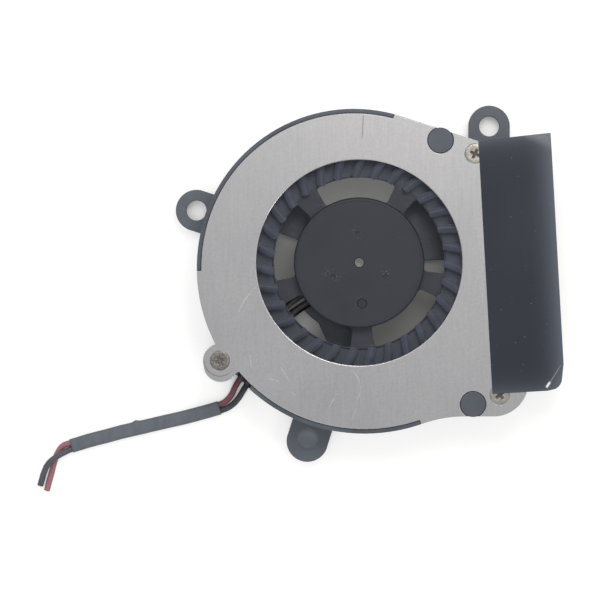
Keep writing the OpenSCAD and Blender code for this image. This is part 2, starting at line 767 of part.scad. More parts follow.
// Flattened tube around both leads
module lead_sleeve() {
  n = 16;
  rings = len(sleeve_line);
  round_x = sleeve_half[0] - sleeve_half[1];
  function stadium(r) = [for (j = [0:n - 1])
    let (a = 360 * (j + 0.5) / n) [round_x * sign(cos(a)), 0] + r * dir(a)];
  outer = [for (i = [0:rings - 1]) each ring_pts(sleeve_line, i, stadium(sleeve_half[1]))];
  inner = [for (i = [0:rings - 1]) each ring_pts(sleeve_line, i, stadium(sleeve_half[1] - sleeve_wall))];
  base = rings * n;
  function rim(i) = [for (j = [0:n - 1])
    [i * n + j, i * n + (j + 1) % n, base + i * n + (j + 1) % n, base + i * n + j]];
  color("#33353a") polyhedron(concat(outer, inner),
    concat(flipped(skin(rings, n, 0)), skin(rings, n, base), rim(0), flipped(rim(rings - 1))));
}

base_frame();
cover_plate();
cover_screws();
outlet_tape();
impeller();
rotor_shaft();
rotor_yoke();
rotor_magnet();
stator_core();
bobbin_upper();
bobbin_lower();
coil(1);  // coil_1
coil(2);  // coil_2
coil(3);  // coil_3
coil(4);  // coil_4
coil_pins();
motor_board();
driver_chip();
board_capacitor();
solder_joints();
bearing_tube();
sleeve_bearing();
thrust_pad();
shaft_clip();
oil_ring();
red_lead_inner();
black_lead_inner();
red_lead();
black_lead();
lead_sleeve();
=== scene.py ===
"""Looks of a flat centrifugal blower: a black scroll housing under a brushed cover, a bladed impeller,
a glossy film over the outlet and two supply leads in a sleeve. Lengths in capitals are in millimetres,
unless they are multiplied by MM, and angles are in degrees."""
import math

import bmesh
import bpy
from mathutils import Matrix, Vector, noise


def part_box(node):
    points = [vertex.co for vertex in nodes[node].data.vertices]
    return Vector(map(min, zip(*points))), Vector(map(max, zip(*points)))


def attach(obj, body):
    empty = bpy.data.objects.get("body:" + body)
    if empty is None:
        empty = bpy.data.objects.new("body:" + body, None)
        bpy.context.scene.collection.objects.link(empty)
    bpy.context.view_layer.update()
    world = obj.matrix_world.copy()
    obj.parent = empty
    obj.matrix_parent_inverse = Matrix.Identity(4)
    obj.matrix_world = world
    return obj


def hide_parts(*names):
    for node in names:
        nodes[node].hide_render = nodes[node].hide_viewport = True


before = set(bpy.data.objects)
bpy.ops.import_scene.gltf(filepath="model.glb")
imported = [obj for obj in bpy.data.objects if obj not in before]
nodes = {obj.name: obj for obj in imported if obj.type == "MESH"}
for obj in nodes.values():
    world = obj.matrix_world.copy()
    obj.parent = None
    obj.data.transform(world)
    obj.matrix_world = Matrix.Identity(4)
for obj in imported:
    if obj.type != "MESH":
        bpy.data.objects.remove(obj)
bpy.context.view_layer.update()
scene = bpy.context.scene
scene.view_settings.view_transform = "Standard"

MM = 0.001
UP = Vector((0, 0, 1))


# Places, sizes and directions that more than one section uses

plate_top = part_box("cover_plate")[1].z
hub_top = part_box("impeller")[1].z
INLET_R = 18.5


def direction(degrees):
    """Level unit vector, turned that far from the X axis."""
    return Vector((math.cos(math.radians(degrees)), math.sin(math.radians(degrees)), 0))


# Camera: straight above, as the photograph is taken

VIEW_WIDTH = 108 * MM
VIEW_CENTRE = Vector((-10.66 * MM, -6.73 * MM, 0))
CAMERA_HEIGHT = 2500 * MM


def make_camera():
    camera = bpy.data.objects.new("camera", bpy.data.cameras.new("camera"))
    camera.data.lens = camera.data.sensor_width * CAMERA_HEIGHT / VIEW_WIDTH
    camera.location = VIEW_CENTRE + Vector((0, 0, plate_top + CAMERA_HEIGHT))
    scene.collection.objects.link(camera)
    scene.camera = camera


make_camera()


# Node building and colours

def linear(hex_code):
    """sRGB hex colour as linear red, green, blue and alpha."""
    parts = [int(hex_code[i:i + 2], 16) / 255 for i in (1, 3, 5)]
    return [c / 12.92 if c <= 0.04045 else ((c + 0.055) / 1.055) ** 2.4 for c in parts] + [1.0]


def per(size_mm):
    """Texture scale whose features are about that many millimetres across."""
    return 1 / (size_mm * MM)


def add(tree, kind, inputs=(), out=None, **settings):
    """Adds a node with its settings and gives its first output in use, or the one named by out. An input
    takes a value, a hex colour or the socket that feeds it."""
    made = tree.nodes.new(kind)
    for name, value in settings.items():
        setattr(made, name, value)
    for key, value in dict(inputs).items():
        if isinstance(value, bpy.types.NodeSocket):
            tree.links.new(value, made.inputs[key])
        else:
            made.inputs[key].default_value = linear(value) if str(value).startswith("#") else value
    return next((s for s in made.outputs if s.enabled and out in (None, s.name)), None)


def new_material(name, **constants):
    """A material, its tree and Object coordinates. Constants go on the shader's sockets."""
    made = bpy.data.materials.new(name)
    made.use_nodes = True
    tree = made.node_tree
    for key, value in constants.items():
        tree.nodes["Principled BSDF"].inputs[key.replace("_", " ")].default_value = value
    return made, tree, add(tree, "ShaderNodeTexCoord", out="Object")


def dress(tree, colour, roughness, height, depth_mm):
    """Gives the shader its colour, bumps of that depth, and a roughness between two values by a number."""
    number, low, high = roughness
    rough = add(tree, "ShaderNodeMapRange", {"Value": number, "To Min": low, "To Max": high})
    bumps = add(tree, "ShaderNodeBump", {"Height": height, "Distance": depth_mm * MM, "Strength": 1.0})
    for name, socket in (("Base Color", colour), ("Roughness", rough), ("Normal", bumps)):
        tree.links.new(socket, tree.nodes["Principled BSDF"].inputs[name])


def layered(tree, base, *layers):
    """Colours over a base colour. Each layer is a number from 0 to 1, its strength and its colour. A Mix of
    colours takes its share at input 0 and the colours at 6 and 7."""
    for number, strength, colour in layers:
        share = add(tree, "ShaderNodeMath", {0: number, 1: strength}, operation="MULTIPLY")
        base = add(tree, "ShaderNodeMix", {0: share, 6: base, 7: colour}, data_type="RGBA")
    return base


def strongest(tree, numbers):
    """The highest of the numbers, and at least 0."""
    highest = 0.0
    for number in numbers:
        highest = add(tree, "ShaderNodeMath", {0: number, 1: highest}, operation="MAXIMUM")
    return highest


def speckle(tree, where, size_mm, lowest, highest, detail=2.0):
    """Noise of that grain, stretched so that lowest gives 0 and highest gives 1."""
    grain = add(tree, "ShaderNodeTexNoise", {"Vector": where, "Scale": per(size_mm), "Detail": detail})
    return add(tree, "ShaderNodeMapRange", {"Value": grain, "From Min": lowest, "From Max": highest})


def streaks(tree, where, sizes_mm, detail, turn=0):
    """Noise with a grain of its own size along X, Y and Z, turned about Z by degrees."""
    lines = {"Vector": where, "Scale": [per(s) for s in sizes_mm], "Rotation": (0, 0, math.radians(turn))}
    lines = add(tree, "ShaderNodeMapping", lines)
    return add(tree, "ShaderNodeTexNoise", {"Vector": lines, "Scale": 1.0, "Detail": detail})


def lint(tree, where, apart_mm, size, rare):
    """Scattered specks as a number from 0 to 1. Size is a share of their distance, and a higher rare dims
    more of them."""
    cells = add(tree, "ShaderNodeTexVoronoi", {"Vector": where, "Scale": per(apart_mm)}).node.outputs
    speck = {"Value": cells["Distance"], "From Min": size, "From Max": 0.4 * size}
    speck = add(tree, "ShaderNodeMapRange", speck)
    strength = add(tree, "ShaderNodeMath", {0: cells["Color"], 1: rare}, operation="POWER")
    return add(tree, "ShaderNodeMath", {0: speck, 1: strength}, operation="MULTIPLY")


def by_part(tree, vector, part, start, end):
    """Number that goes from 0 to 1 as the vector's X, Y or Z goes from start to end."""
    value = add(tree, "ShaderNodeSeparateXYZ", {"Vector": vector}, out=part)
    return add(tree, "ShaderNodeMapRange", {"Value": value, "From Min": start, "From Max": end})


def sky_share(tree, reach_mm, start, end, samples=8):
    """Number that goes from 0 to 1 as the open share of the sky within that reach goes from start to end."""
    sky = {"Distance": reach_mm * MM}
    sky = add(tree, "ShaderNodeAmbientOcclusion", sky, out="AO", samples=samples)
    return add(tree, "ShaderNodeMapRange", {"Value": sky, "From Min": start, "From Max": end})


def level_offset(tree, where, x, y):
    """Offset from the upright line at X and Y, without its height."""
    flat = add(tree, "ShaderNodeVectorMath", {0: where, 1: (1, 1, 0)}, operation="MULTIPLY")
    return add(tree, "ShaderNodeVectorMath", {0: flat, 1: (x * MM, y * MM, 0)}, operation="SUBTRACT")


def distance(tree, where, x=0, y=0):
    """Level distance from the upright line at X and Y."""
    return add(tree, "ShaderNodeVectorMath", {0: level_offset(tree, where, x, y)}, operation="LENGTH")


def disc(tree, where, x, y, radius, low, soft=0.35):
    """Number that is 1 in an upright cylinder above a height, in mm, and fades to 0 over its edge."""
    edge = {"Value": distance(tree, where, x, y), "From Min": radius * MM, "From Max": (radius - soft) * MM}
    edge = add(tree, "ShaderNodeMapRange", edge)
    height = add(tree, "ShaderNodeSeparateXYZ", {"Vector": where}, out="Z")
    above = add(tree, "ShaderNodeMath", {0: height, 1: low * MM}, operation="GREATER_THAN")
    return add(tree, "ShaderNodeMath", {0: edge, 1: above}, operation="MULTIPLY")


def scratch(tree, where, x, y, radius, middle, half_span, half_width):
    """One thin arc that fades towards its ends, as a number from 0 to 1."""
    offset = level_offset(tree, where, x, y)
    far = add(tree, "ShaderNodeVectorMath", {0: offset}, operation="LENGTH")
    off = add(tree, "ShaderNodeMath", {0: far, 1: radius * MM}, operation="SUBTRACT")
    off = add(tree, "ShaderNodeMath", {0: off}, operation="ABSOLUTE")
    line = {"Value": off, "From Min": half_width * MM, "From Max": 0.3 * half_width * MM}
    line = add(tree, "ShaderNodeMapRange", line)
    out = add(tree, "ShaderNodeVectorMath", {0: offset}, operation="NORMALIZE")
    facing = add(tree, "ShaderNodeVectorMath", {0: out, 1: direction(middle)}, operation="DOT_PRODUCT")
    tip, full = (math.cos(math.radians(half_span * share)) for share in (1, 0.5))
    span = add(tree, "ShaderNodeMapRange", {"Value": facing, "From Min": tip, "From Max": full})
    return add(tree, "ShaderNodeMath", {0: line, 1: span}, operation="MULTIPLY")


# Materials

# Shallow dish in the lower ear, painted paler as a highlight: X, Y, radius and lowest height
EAR_DISH_HIGHLIGHT = (-9.25, -31.7, 2.0, 1.2)
# Places on the floor beside the hub painted in shadow, where the paler tone of low parts is left out: the
# same, and how far they fade
SHADED_FLOOR = [(13.6, 2.2, 6.0, -1, 4.0), (-12.4, 4.8, 3.6, -1, 2.6)]
# Dust and painted light on the ears and the floor, paler towards the bottom: the heights between which they
# set in, and their strength
LOW_DUST_AND_LIGHT = (4 * MM, 2 * MM)
LOW_DUST_AND_LIGHT_SHARE = 0.3


def moulded_plastic(name, colour, pale, roughness, grain_mm=0.25, dust=0.2, bump=0.006, ear_dust_and_light=False):
    """Moulded or pressed material, mostly plastic: a fine satin grain, slow mottling, dust in the grain."""
    made, tree, where = new_material(name, IOR=1.5)
    mottle = speckle(tree, where, 7, 0.35, 0.65, detail=4)
    specks = speckle(tree, where, 0.5, 0.62, 0.8)
    grain = speckle(tree, where, grain_mm, 0.3, 0.7)
    toned = layered(tree, colour, (mottle, 1, pale), (specks, dust, "#8f8d88"))
    # Housing only: low parts paler with dust and painted light, the dish paler as a painted highlight, and
    # painted shadow beside the hub
    if ear_dust_and_light:
        # Painted shadow: in these places the paler tone of low parts is left out
        clean = strongest(tree, [disc(tree, where, *place) for place in SHADED_FLOOR])
        share = add(tree, "ShaderNodeMapRange", {"Value": clean, "To Min": LOW_DUST_AND_LIGHT_SHARE, "To Max": 0})
        low = by_part(tree, where, "Z", *LOW_DUST_AND_LIGHT)
        dish = disc(tree, where, *EAR_DISH_HIGHLIGHT)
        toned = layered(tree, toned, (low, share, "#7d838d"), (dish, 0.35, "#7d838d"))
    dress(tree, toned, (mottle, roughness - 0.05, roughness + 0.08), grain, bump)
    return made


def worked_metal(name, bright, dull, roughness, stretch, depth_mm=0.004):
    """Metal with the lines of its last cut or drawing: stretch is the grain's size along X, Y and Z."""
    made, tree, where = new_material(name, Metallic=1.0)
    grain = streaks(tree, where, stretch, 3)
    stain = speckle(tree, where, 2.2, 0.4, 0.75, detail=4)
    toned = layered(tree, dull, (grain, 1, bright), (stain, 1, dull))
    dress(tree, toned, (stain, roughness, roughness + 0.15), grain, depth_mm)
    return made


def winding_copper():
    """Enamelled copper wire, wound: a row of round turns under a clear coat. Turns are drawn 0.16 mm wide."""
    coat = {"Coat_Weight": 0.6, "Coat_Roughness": 0.15}
    made, tree, where = new_material("Enamelled copper wire", Metallic=1.0, **coat)
    turns = {"Vector": where, "Scale": per(0.16) / 20, "Distortion": 0.6}
    turns = add(tree, "ShaderNodeTexWave", turns, out="Fac", wave_type="RINGS", rings_direction="Z")
    stain = speckle(tree, where, 1.2, 0.35, 0.7)
    toned = layered(tree, "#7a3f1e", (turns, 1, "#c97b45"), (stain, 1, "#a45c30"))
    dress(tree, toned, (stain, 0.28, 0.42), turns, 0.05)
    return made


def board_laminate():
    """Glass epoxy board under green mask: traces show as paler bands, and the mask is glossy."""
    made, tree, where = new_material("Glass epoxy board, green mask", IOR=1.55, Coat_Weight=0.4)
    traces = {"Vector": where, "Scale": per(3.2), "Mortar Size": 0.06}
    traces = add(tree, "ShaderNodeTexBrick", traces, out="Fac")
    weave = speckle(tree, where, 0.3, 0.3, 0.7)
    toned = layered(tree, "#1e5a37", (weave, 1, "#256a42"), (traces, 1, "#3c8758"))
    dress(tree, toned, (weave, 0.25, 0.36), traces, 0.03)
    return made


# Share of open sky at which corners begin to turn paler with dust and with painted light that lifts their
# shade, and at which they are palest
CORNER_DUST_AND_LIGHT = (0.75, 0.1)
# Upward part of the surface's normal at which painted light begins to make a blade's side paler, and at which
# it is strongest
FLANK_LIGHT = (0.9, 0.2)
# Dust that lies around the marks in the hub's top: X, Y and reach
DUSTY_MARKS = [(-0.3, 5.6, 1.6), (-5.0, -2.0, 2.2), (5.0, -2.3, 1.6), (0.5, -7.3, 1.9)]
DUSTY_ABOVE = 9
# Dirt in those marks: heights between which it sets in, and the radius that holds them
MARK_DIRT = (hub_top - 0.02 * MM, hub_top - 0.07 * MM)
MARKED_R = 10


def hub_plastic():
    """Matt black PBT of the hub: even and dull, with rare dust, and dirt in the gate marks and the dimple."""
    made, tree, where = new_material("Matt black PBT, moulded", IOR=1.5)
    mottle = speckle(tree, where, 9, 0.35, 0.65, detail=4)
    grain = speckle(tree, where, 0.3, 0.3, 0.7)
    sunk = by_part(tree, where, "Z", *MARK_DIRT)
    within = {0: distance(tree, where), 1: MARKED_R * MM}
    within = add(tree, "ShaderNodeMath", within, operation="LESS_THAN")
    near = [disc(tree, where, x, y, reach, DUSTY_ABOVE, soft=reach) for x, y, reach in DUSTY_MARKS]
    caught = {0: lint(tree, where, 0.5, 0.3, 1), 1: strongest(tree, near)}
    caught = add(tree, "ShaderNodeMath", caught, operation="MULTIPLY")
    # Corners turn paler with dust and with painted light that lifts their shade
    toned = layered(tree, "#1d2029", (mottle, 1, "#242833"), (lint(tree, where, 0.9, 0.1, 4), 0.4, "#8b8d92"),
                    (sunk, within, "#1c1d26"), (sky_share(tree, 3, *CORNER_DUST_AND_LIGHT), 1, "#3f424e"),
                    (caught, 0.7, "#8b8d92"))
    dress(tree, toned, (mottle, 0.5, 0.62), grain, 0.005)
    return made


def blade_plastic(name, colour, pale, caught):
    """Thin moulded PBT: on each blade its own film of dust; corners paler with dust and painted light, sides
    paler with painted light.
    """
    made, tree, where = new_material(name, IOR=1.5)
    dust = add(tree, "ShaderNodeAttribute", out="Fac", attribute_name="dust")
    mottle = speckle(tree, where, 2.5, 0.35, 0.65, detail=4)
    grain = speckle(tree, where, 0.25, 0.3, 0.7)
    normal = add(tree, "ShaderNodeNewGeometry", out="Normal")
    flank_light = by_part(tree, normal, "Z", *FLANK_LIGHT)
    # Paler corners: dust and painted light that lifts their shade; paler blade sides: painted light
    toned = layered(tree, colour, (mottle, 1, pale), (dust, mottle, "#3a4050"),
                    (sky_share(tree, 4, *CORNER_DUST_AND_LIGHT), 1, caught), (flank_light, 0.55, "#7b8194"))
    dress(tree, toned, (dust, 0.48, 0.62), grain, 0.005)
    return made


# Marks on the cover as arcs: centre X and Y, radius, mid direction, half span and half width
SCRATCHES = [(-10.5, -13.4, 12.1, 145, 21, 0.11), (-3.9, -22.6, 4.1, 8, 52, 0.1),
             (-40, -20, 20.6, 6, 4, 0.1), (-34.6, -14.7, 35.9, -20.5, 2.2, 0.09),
             (-19.9, -15.6, 17.8, -32.5, 4.5, 0.09), (-60, -18, 41.5, 1.4, 1.3, 0.1),
             (-50, -40, 40.9, 11, 2, 0.08), (-40, -60, 46, 52, 1.5, 0.08), (-30, -30, 19.4, 31, 5, 0.1),
             (-18, -30, 9.3, 73, 7, 0.09), (2, -30, 8.6, 138, 9, 0.08)]
DARK_MARKS = [(-60, 27, 60.7, -2.2, 2.6, 0.1), (-25.1, -17.7, 2.75, 250, 75, 0.09)]
INLET_EDGE = (0, 0, INLET_R, 0, 360, 0.3)


def brushed_aluminium():
    """Aluminium sheet brushed along Y: soft streaks, smudges, light scratches from handling, and an inlet
    edge that the tool burnished. The real grain is about 0.05 mm, drawn at 0.22 mm so that it shows."""
    made, tree, where = new_material("Aluminium sheet, brushed", Metallic=1.0)
    grain = streaks(tree, where, (0.22, 5, 0.22), 4)
    smudge = speckle(tree, where, 14, 0.35, 0.7, detail=5)
    fine = speckle(tree, where, 0.45, 0.3, 0.7, detail=4)
    broken = speckle(tree, where, 0.9, 0.36, 0.56)
    light = strongest(tree, [scratch(tree, where, *mark) for mark in SCRATCHES])
    light = add(tree, "ShaderNodeMath", {0: light, 1: broken}, operation="MULTIPLY")
    dark = strongest(tree, [scratch(tree, where, *mark) for mark in DARK_MARKS])
    rolled = scratch(tree, where, *INLET_EDGE)
    toned = layered(tree, "#a1a1a4", (grain, 1, "#bababc"), (smudge, 0.5, "#a9a6a8"), (fine, 0.4, "#bebec0"),
                    (light, 0.5, "#e2e2e3"), (dark, 0.75, "#5a5854"), (rolled, 1, "#cfcfce"))
    smooth = add(tree, "ShaderNodeMapRange", {"Value": rolled, "To Min": 0.36, "To Max": 0.2})
    dull = add(tree, "ShaderNodeMapRange", {"Value": rolled, "To Min": 0.44, "To Max": 0.28})
    height = add(tree, "ShaderNodeMath", {0: grain, 1: light}, operation="SUBTRACT")
    dress(tree, toned, (smudge, smooth, dull), height, 0.006)
    return made


# Heights between which dirt sets in on a screw
RECESS_DIRT = (plate_top - 0.04 * MM, plate_top - 0.14 * MM)


def screw_steel():
    """Nickel plated steel screw: pale where it is clean, grey where it is worn, with dirt in the recess."""
    made, tree, where = new_material("Nickel plated steel", Metallic=1.0)
    worn = add(tree, "ShaderNodeAttribute", out="Fac", attribute_name="worn")
    spots = speckle(tree, where, 0.45, 0.35, 0.65, detail=3)
    sunk = by_part(tree, where, "Z", *RECESS_DIRT)
    dull = layered(tree, "#96928f", (spots, 1, "#6c6967"))
    dirt = layered(tree, "#584f48", (worn, 1, "#85817e"))
    toned = layered(tree, "#aeaba6", (spots, 1, "#a19e98"), (worn, 1, dull), (sunk, 0.8, dirt))
    dress(tree, toned, (sunk, 0.42, 0.7), spots, 0.01)
    return made


# Whitened crease of the film and the scuff at its lower end, each with a painted highlight, as arcs like the
# marks on the cover
CREASE_AND_GLINT_MARK = (-17.9, 13.7, 63, -32.7, 2.3, 0.14)
SCUFF_AND_GLINT_MARK = (-17.9, 13.7, 63, -34.5, 0.65, 0.3)


def polyester_film():
    """Black polyester film with adhesive: glossy, faintly rippled, paler at its free edges, with dust on it
    and a whitened crease that carries a painted highlight."""
    made, tree, where = new_material("Black polyester film", IOR=1.5, Specular_IOR_Level=0.42)
    ripple = speckle(tree, where, 16, 0.1, 0.9, detail=1)
    rim = add(tree, "ShaderNodeAttribute", out="Fac", attribute_name="rim")
    toned = layered(tree, "#20242f", (ripple, 1, "#252a35"), (rim, 1, "#555b66"),
                    (lint(tree, where, 1.2, 0.13, 3), 0.6, "#8d9096"),
                    (scratch(tree, where, *CREASE_AND_GLINT_MARK), 0.4, "#a9adb2"),
                    (scratch(tree, where, *SCUFF_AND_GLINT_MARK), 1, "#e6e6e4"))
    dress(tree, toned, (ripple, 0.25, 0.31), ripple, 0.05)
    return made


# Where along X painted light begins to make the leads paler, and where they are palest
LIT_END = (-24 * MM, -56 * MM)


def insulation(name, colour, pale, lit_colour):
    """Soft PVC insulation, drawn: a smooth satin skin with handling marks, and painted light that makes it
    paler towards its far end.
    """
    made, tree, where = new_material(name, IOR=1.5)
    rubbed = speckle(tree, where, 1.6, 0.35, 0.7, detail=4)
    # Painted light: paler towards the far end
    far = by_part(tree, where, "X", *LIT_END)
    toned = layered(tree, colour, (rubbed, 1, pale), (far, 1, lit_colour))
    dress(tree, toned, (rubbed, 0.36, 0.52), rubbed, 0.01)
    return made


def sleeve_film():
    """Shrunk polyolefin tube: dull, with fine creases across it."""
    made, tree, where = new_material("Polyolefin tube, shrunk", IOR=1.5)
    crease = streaks(tree, where, (1.1, 2.8, 2), 5, turn=-14)
    toned = layered(tree, "#4d5259", (crease, 1, "#6b717b"))
    dress(tree, toned, (crease, 0.5, 0.62), crease, 0.05)
    return made


frame_plastic = moulded_plastic("Satin black PBT, moulded", "#434851", "#505660", 0.5, ear_dust_and_light=True)
bobbin_plastic = moulded_plastic("Natural nylon, moulded", "#cfc9b4", "#d9d4c2", 0.45, dust=0.08)
chip_plastic = moulded_plastic("Black epoxy, moulded", "#26272a", "#2e2f33", 0.6, grain_mm=0.12, dust=0.05)
ceramic = moulded_plastic("Tan ceramic, fired", "#b3a082", "#c0ad90", 0.5, grain_mm=0.15, dust=0.1)
pad_nylon = moulded_plastic("White PTFE, cut", "#dedbd0", "#e8e5db", 0.4, grain_mm=0.2, dust=0.06)
ferrite = moulded_plastic("Bonded ferrite, pressed", "#3a3a3d", "#4a4a4e", 0.75, grain_mm=0.18, dust=0.12,
                          bump=0.012)
shaft_steel = worked_metal("Ground steel", "#7f837f", "#676b67", 0.5, (0.3, 0.3, 0.05))
yoke_steel = worked_metal("Zinc plated steel, pressed", "#c4c6c9", "#9c9ea2", 0.35, (0.6, 0.6, 1.5))
core_steel = worked_metal("Silicon steel, laminated", "#9fa1a5", "#6f7175", 0.42, (4, 4, 0.3), depth_mm=0.02)
pin_metal = worked_metal("Tinned brass", "#cfc7ad", "#a69b78", 0.35, (0.4, 0.4, 1))
solder_metal = worked_metal("Solder, set bright", "#c5c8cb", "#9b9ea2", 0.28, (0.5, 0.5, 0.5), depth_mm=0.02)
tube_brass = worked_metal("Drawn brass", "#c9a95f", "#a3853f", 0.3, (0.2, 0.2, 3))
bronze = worked_metal("Sintered bronze", "#a98556", "#7b5c36", 0.5, (0.25, 0.25, 0.25), depth_mm=0.02)
bare_copper = worked_metal("Bare copper strands", "#c77f52", "#8d5330", 0.35, (0.1, 0.1, 0.1))
coil_wire = winding_copper()
green_board = board_laminate()
hub_pbt = hub_plastic()
# Last colour: the paler tone of corners, from dust and painted light
blade_pbt = blade_plastic("Blue black PBT, dusty", "#2b2f3a", "#333845", "#5a5f6d")
spoke_pbt = blade_plastic("Blue black PBT, clean", "#252831", "#2b2e38", "#3c404a")
cover_aluminium = brushed_aluminium()
screw_nickel = screw_steel()
tape_film = polyester_film()
red_pvc = insulation("Red PVC insulation", "#77434b", "#895a62", "#9a666f")
# Inner leads: soot, and a paler tone as painted light that lifts the shade in the wire guide
soot_and_light_pvc = insulation("PVC insulation, sooty", "#5a5455", "#676162", "#676162")
black_pvc = insulation("Black PVC insulation", "#33363a", "#45484d", "#4b4e54")
sleeve_tube = sleeve_film()


# Making and finishing a piece

# Distance within which points of a CAD mesh count as one, and angle up to which faces count as flat
SAME_POINT = 0.03 * MM
FLAT_ANGLE = 0.6


def finish_piece(piece, body, material, stands_for=()):
    """The piece rides on a body, takes a material, and stands for CAD nodes."""
    piece.data.materials.clear()
    piece.data.materials.append(material)
    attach(piece, body)
    if stands_for:
        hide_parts(*stands_for)
    return piece


def piece_from(name, data):
    """Piece in the scene from a mesh or a curve."""
    piece = bpy.data.objects.new(name, data)
    scene.collection.objects.link(piece)
    return piece


def piece_from_bmesh(name, bm):
    mesh = bpy.data.meshes.new(name)
    bm.to_mesh(mesh)
    bm.free()
    return piece_from(name, mesh)


def applied(piece):
    """Turns the evaluated piece into a plain mesh of the same name, without modifiers."""
    depsgraph = bpy.context.evaluated_depsgraph_get()
    made = bpy.data.meshes.new_from_object(piece.evaluated_get(depsgraph), depsgraph=depsgraph)
    name = piece.name
    bpy.data.objects.remove(piece)
    made.name = name
    return piece_from(name, made)


def circle_points(radius, sides, z=0.0):
    """Points around the Z axis."""
    turns = [2 * math.pi * k / sides for k in range(sides)]
    return [Vector((radius * math.cos(t), radius * math.sin(t), z)) for t in turns]


def join_rings(bm, rings, closed=False):
    """Quads between rings of the same length; closed also joins the last ring to the first."""
    sides = len(rings[0])
    following = rings[1:] + rings[:1] if closed else rings[1:]
    for first, second in zip(rings, following):
        for k in range(sides):
            n = (k + 1) % sides
            bm.faces.new((first[k], first[n], second[n], second[k]))


def skinned(name, rings, closed=False):
    """Piece with a skin over rings of points; unless it is closed, its first and last rings are capped."""
    bm = bmesh.new()
    corners = [[bm.verts.new(point) for point in ring] for ring in rings]
    join_rings(bm, corners, closed)
    if not closed:
        bm.faces.new(corners[0])
        bm.faces.new(corners[-1])
    bmesh.ops.recalc_face_normals(bm, faces=bm.faces)
    return piece_from_bmesh(name, bm)


def lathe(name, profile, sides, closed=False):
    """Solid of revolution from radius and height pairs: a closed ring, or a solid with capped ends."""
    return skinned(name, [circle_points(radius * MM, sides, z * MM) for radius, z in profile], closed)


def smooth_up_to(piece, degrees):
    """Smooth shading, with edges sharper than the angle kept crisp."""
    piece.data.shade_smooth()
    piece.data.set_sharp_from_angle(angle=math.radians(degrees))
    return piece


def whole_faces(piece):
    """Joins neighbouring faces that are flat to each other."""
    bm = bmesh.new()
    bm.from_mesh(piece.data)
    bmesh.ops.dissolve_limit(bm, angle_limit=math.radians(FLAT_ANGLE), verts=bm.verts, edges=bm.edges)
    bm.to_mesh(piece.data)
    bm.free()
    return piece


def cut(piece, cutter):
    """Takes the cutter's shape out of the piece and joins the flat scraps that this leaves."""
    carve = piece.modifiers.new("cut", "BOOLEAN")
    carve.operation = "DIFFERENCE"
    carve.solver = "EXACT"
    carve.object = cutter
    made = applied(piece)
    bpy.data.objects.remove(cutter)
    return whole_faces(made)


def merged_copy(node, name):
    """Copy of a CAD node with its triangles joined and its flat faces made whole."""
    bm = bmesh.new()
    bm.from_mesh(nodes[node].data)
    bmesh.ops.remove_doubles(bm, verts=bm.verts, dist=SAME_POINT)
    return whole_faces(piece_from_bmesh(name, bm))


def level_normals(piece):
    """Smooth normals that follow the largest faces, so that flat faces look flat up to their edges."""
    piece.modifiers.new("normals", "WEIGHTED_NORMAL").keep_sharp = True
    piece.data.shade_smooth()
    return applied(piece)


def round_edges(piece, width_mm, segments, sharper_than=35, share=None):
    """Rounds the sharp edges of a piece, by its share where one is given, and weights its normals by area."""
    bm = bmesh.new()
    bm.from_mesh(piece.data)
    weights = bm.edges.layers.float.new("bevel_weight_edge")
    for edge in bm.edges:
        if edge.is_manifold and edge.calc_face_angle(0) > math.radians(sharper_than):
            edge[weights] = share((edge.verts[0].co + edge.verts[1].co) / 2 / MM) if share else 1.0
    bm.to_mesh(piece.data)
    bm.free()
    bevel = piece.modifiers.new("edges", "BEVEL")
    bevel.width = width_mm * MM
    bevel.segments = segments
    bevel.limit_method = "WEIGHT"
    bevel.use_clamp_overlap = False
    bevel.miter_outer = "MITER_ARC"
    return level_normals(piece)


# Leads: routes on the table from the notch in the wall, through the sleeve, to the cut ends

SLEEVE_Z = 0.76
SLEEVE_LINE = [(-25.2, -26.2), (-28.0, -27.0), (-31.0, -27.8), (-34.0, -28.5), (-37.0, -29.2), (-40.0, -29.9),
               (-43.0, -30.6), (-46.0, -31.4), (-49.0, -32.2), (-52.0, -33.1)]
RED_OUT = [(-21.62, -21.19, 1.0), (-22.36, -22.37, 1.0), (-23.1, -23.9, 0.85), (-24.15, -25.05, 0.78)]
BLACK_OUT = [(-20.26, -22.03, 1.0), (-21.0, -23.22, 1.0), (-21.8, -24.5, 0.85), (-23.2, -25.9, 0.78)]
RED_END = [(-53.5, -33.1, 0.58), (-54.5, -34.5, 0.57), (-55.1, -36.2, 0.57), (-55.6, -38.2, 0.57),
           (-56.1, -40.0, 0.57), (-56.4, -41.2, 0.57)]
BLACK_END = [(-53.3, -34.3, 1.35), (-54.7, -35.1, 1.8), (-56.1, -36.3, 1.7), (-56.9, -37.9, 1.15),
             (-57.3, -39.2, 0.7), (-57.6, -40.3, 0.57)]
LEAD_D = 1.1 * MM
# Distance of each lead from the middle of the sleeve
LEAD_SHIFT = 0.56 * MM


def metres(points):
    return [Vector(p) * MM for p in points]


def sides_of(path):
    """Level direction to the left of a path at each of its points."""
    around = zip(path[:1] + path, path[1:] + path[-1:])
    return [UP.cross((after - before).normalized()).normalized() for before, after in around]


def beside(path, shift):
    """The path moved to its left in the table's plane."""
    return [p + shift * side for p, side in zip(path, sides_of(path))]


def wire(name, path, diameter):
    """Round wire along a smooth line through the points."""
    curve = bpy.data.curves.new(name, "CURVE")
    curve.dimensions = "3D"
    curve.bevel_depth = diameter / 2
    curve.bevel_resolution = 5
    curve.resolution_u = 6
    curve.use_fill_caps = True
    spline = curve.splines.new("BEZIER")
    spline.bezier_points.add(len(path) - 1)
    for point, place in zip(spline.bezier_points, path):
        point.co = place
        point.handle_left_type = "AUTO"
        point.handle_right_type = "AUTO"
    return piece_from(name, curve)


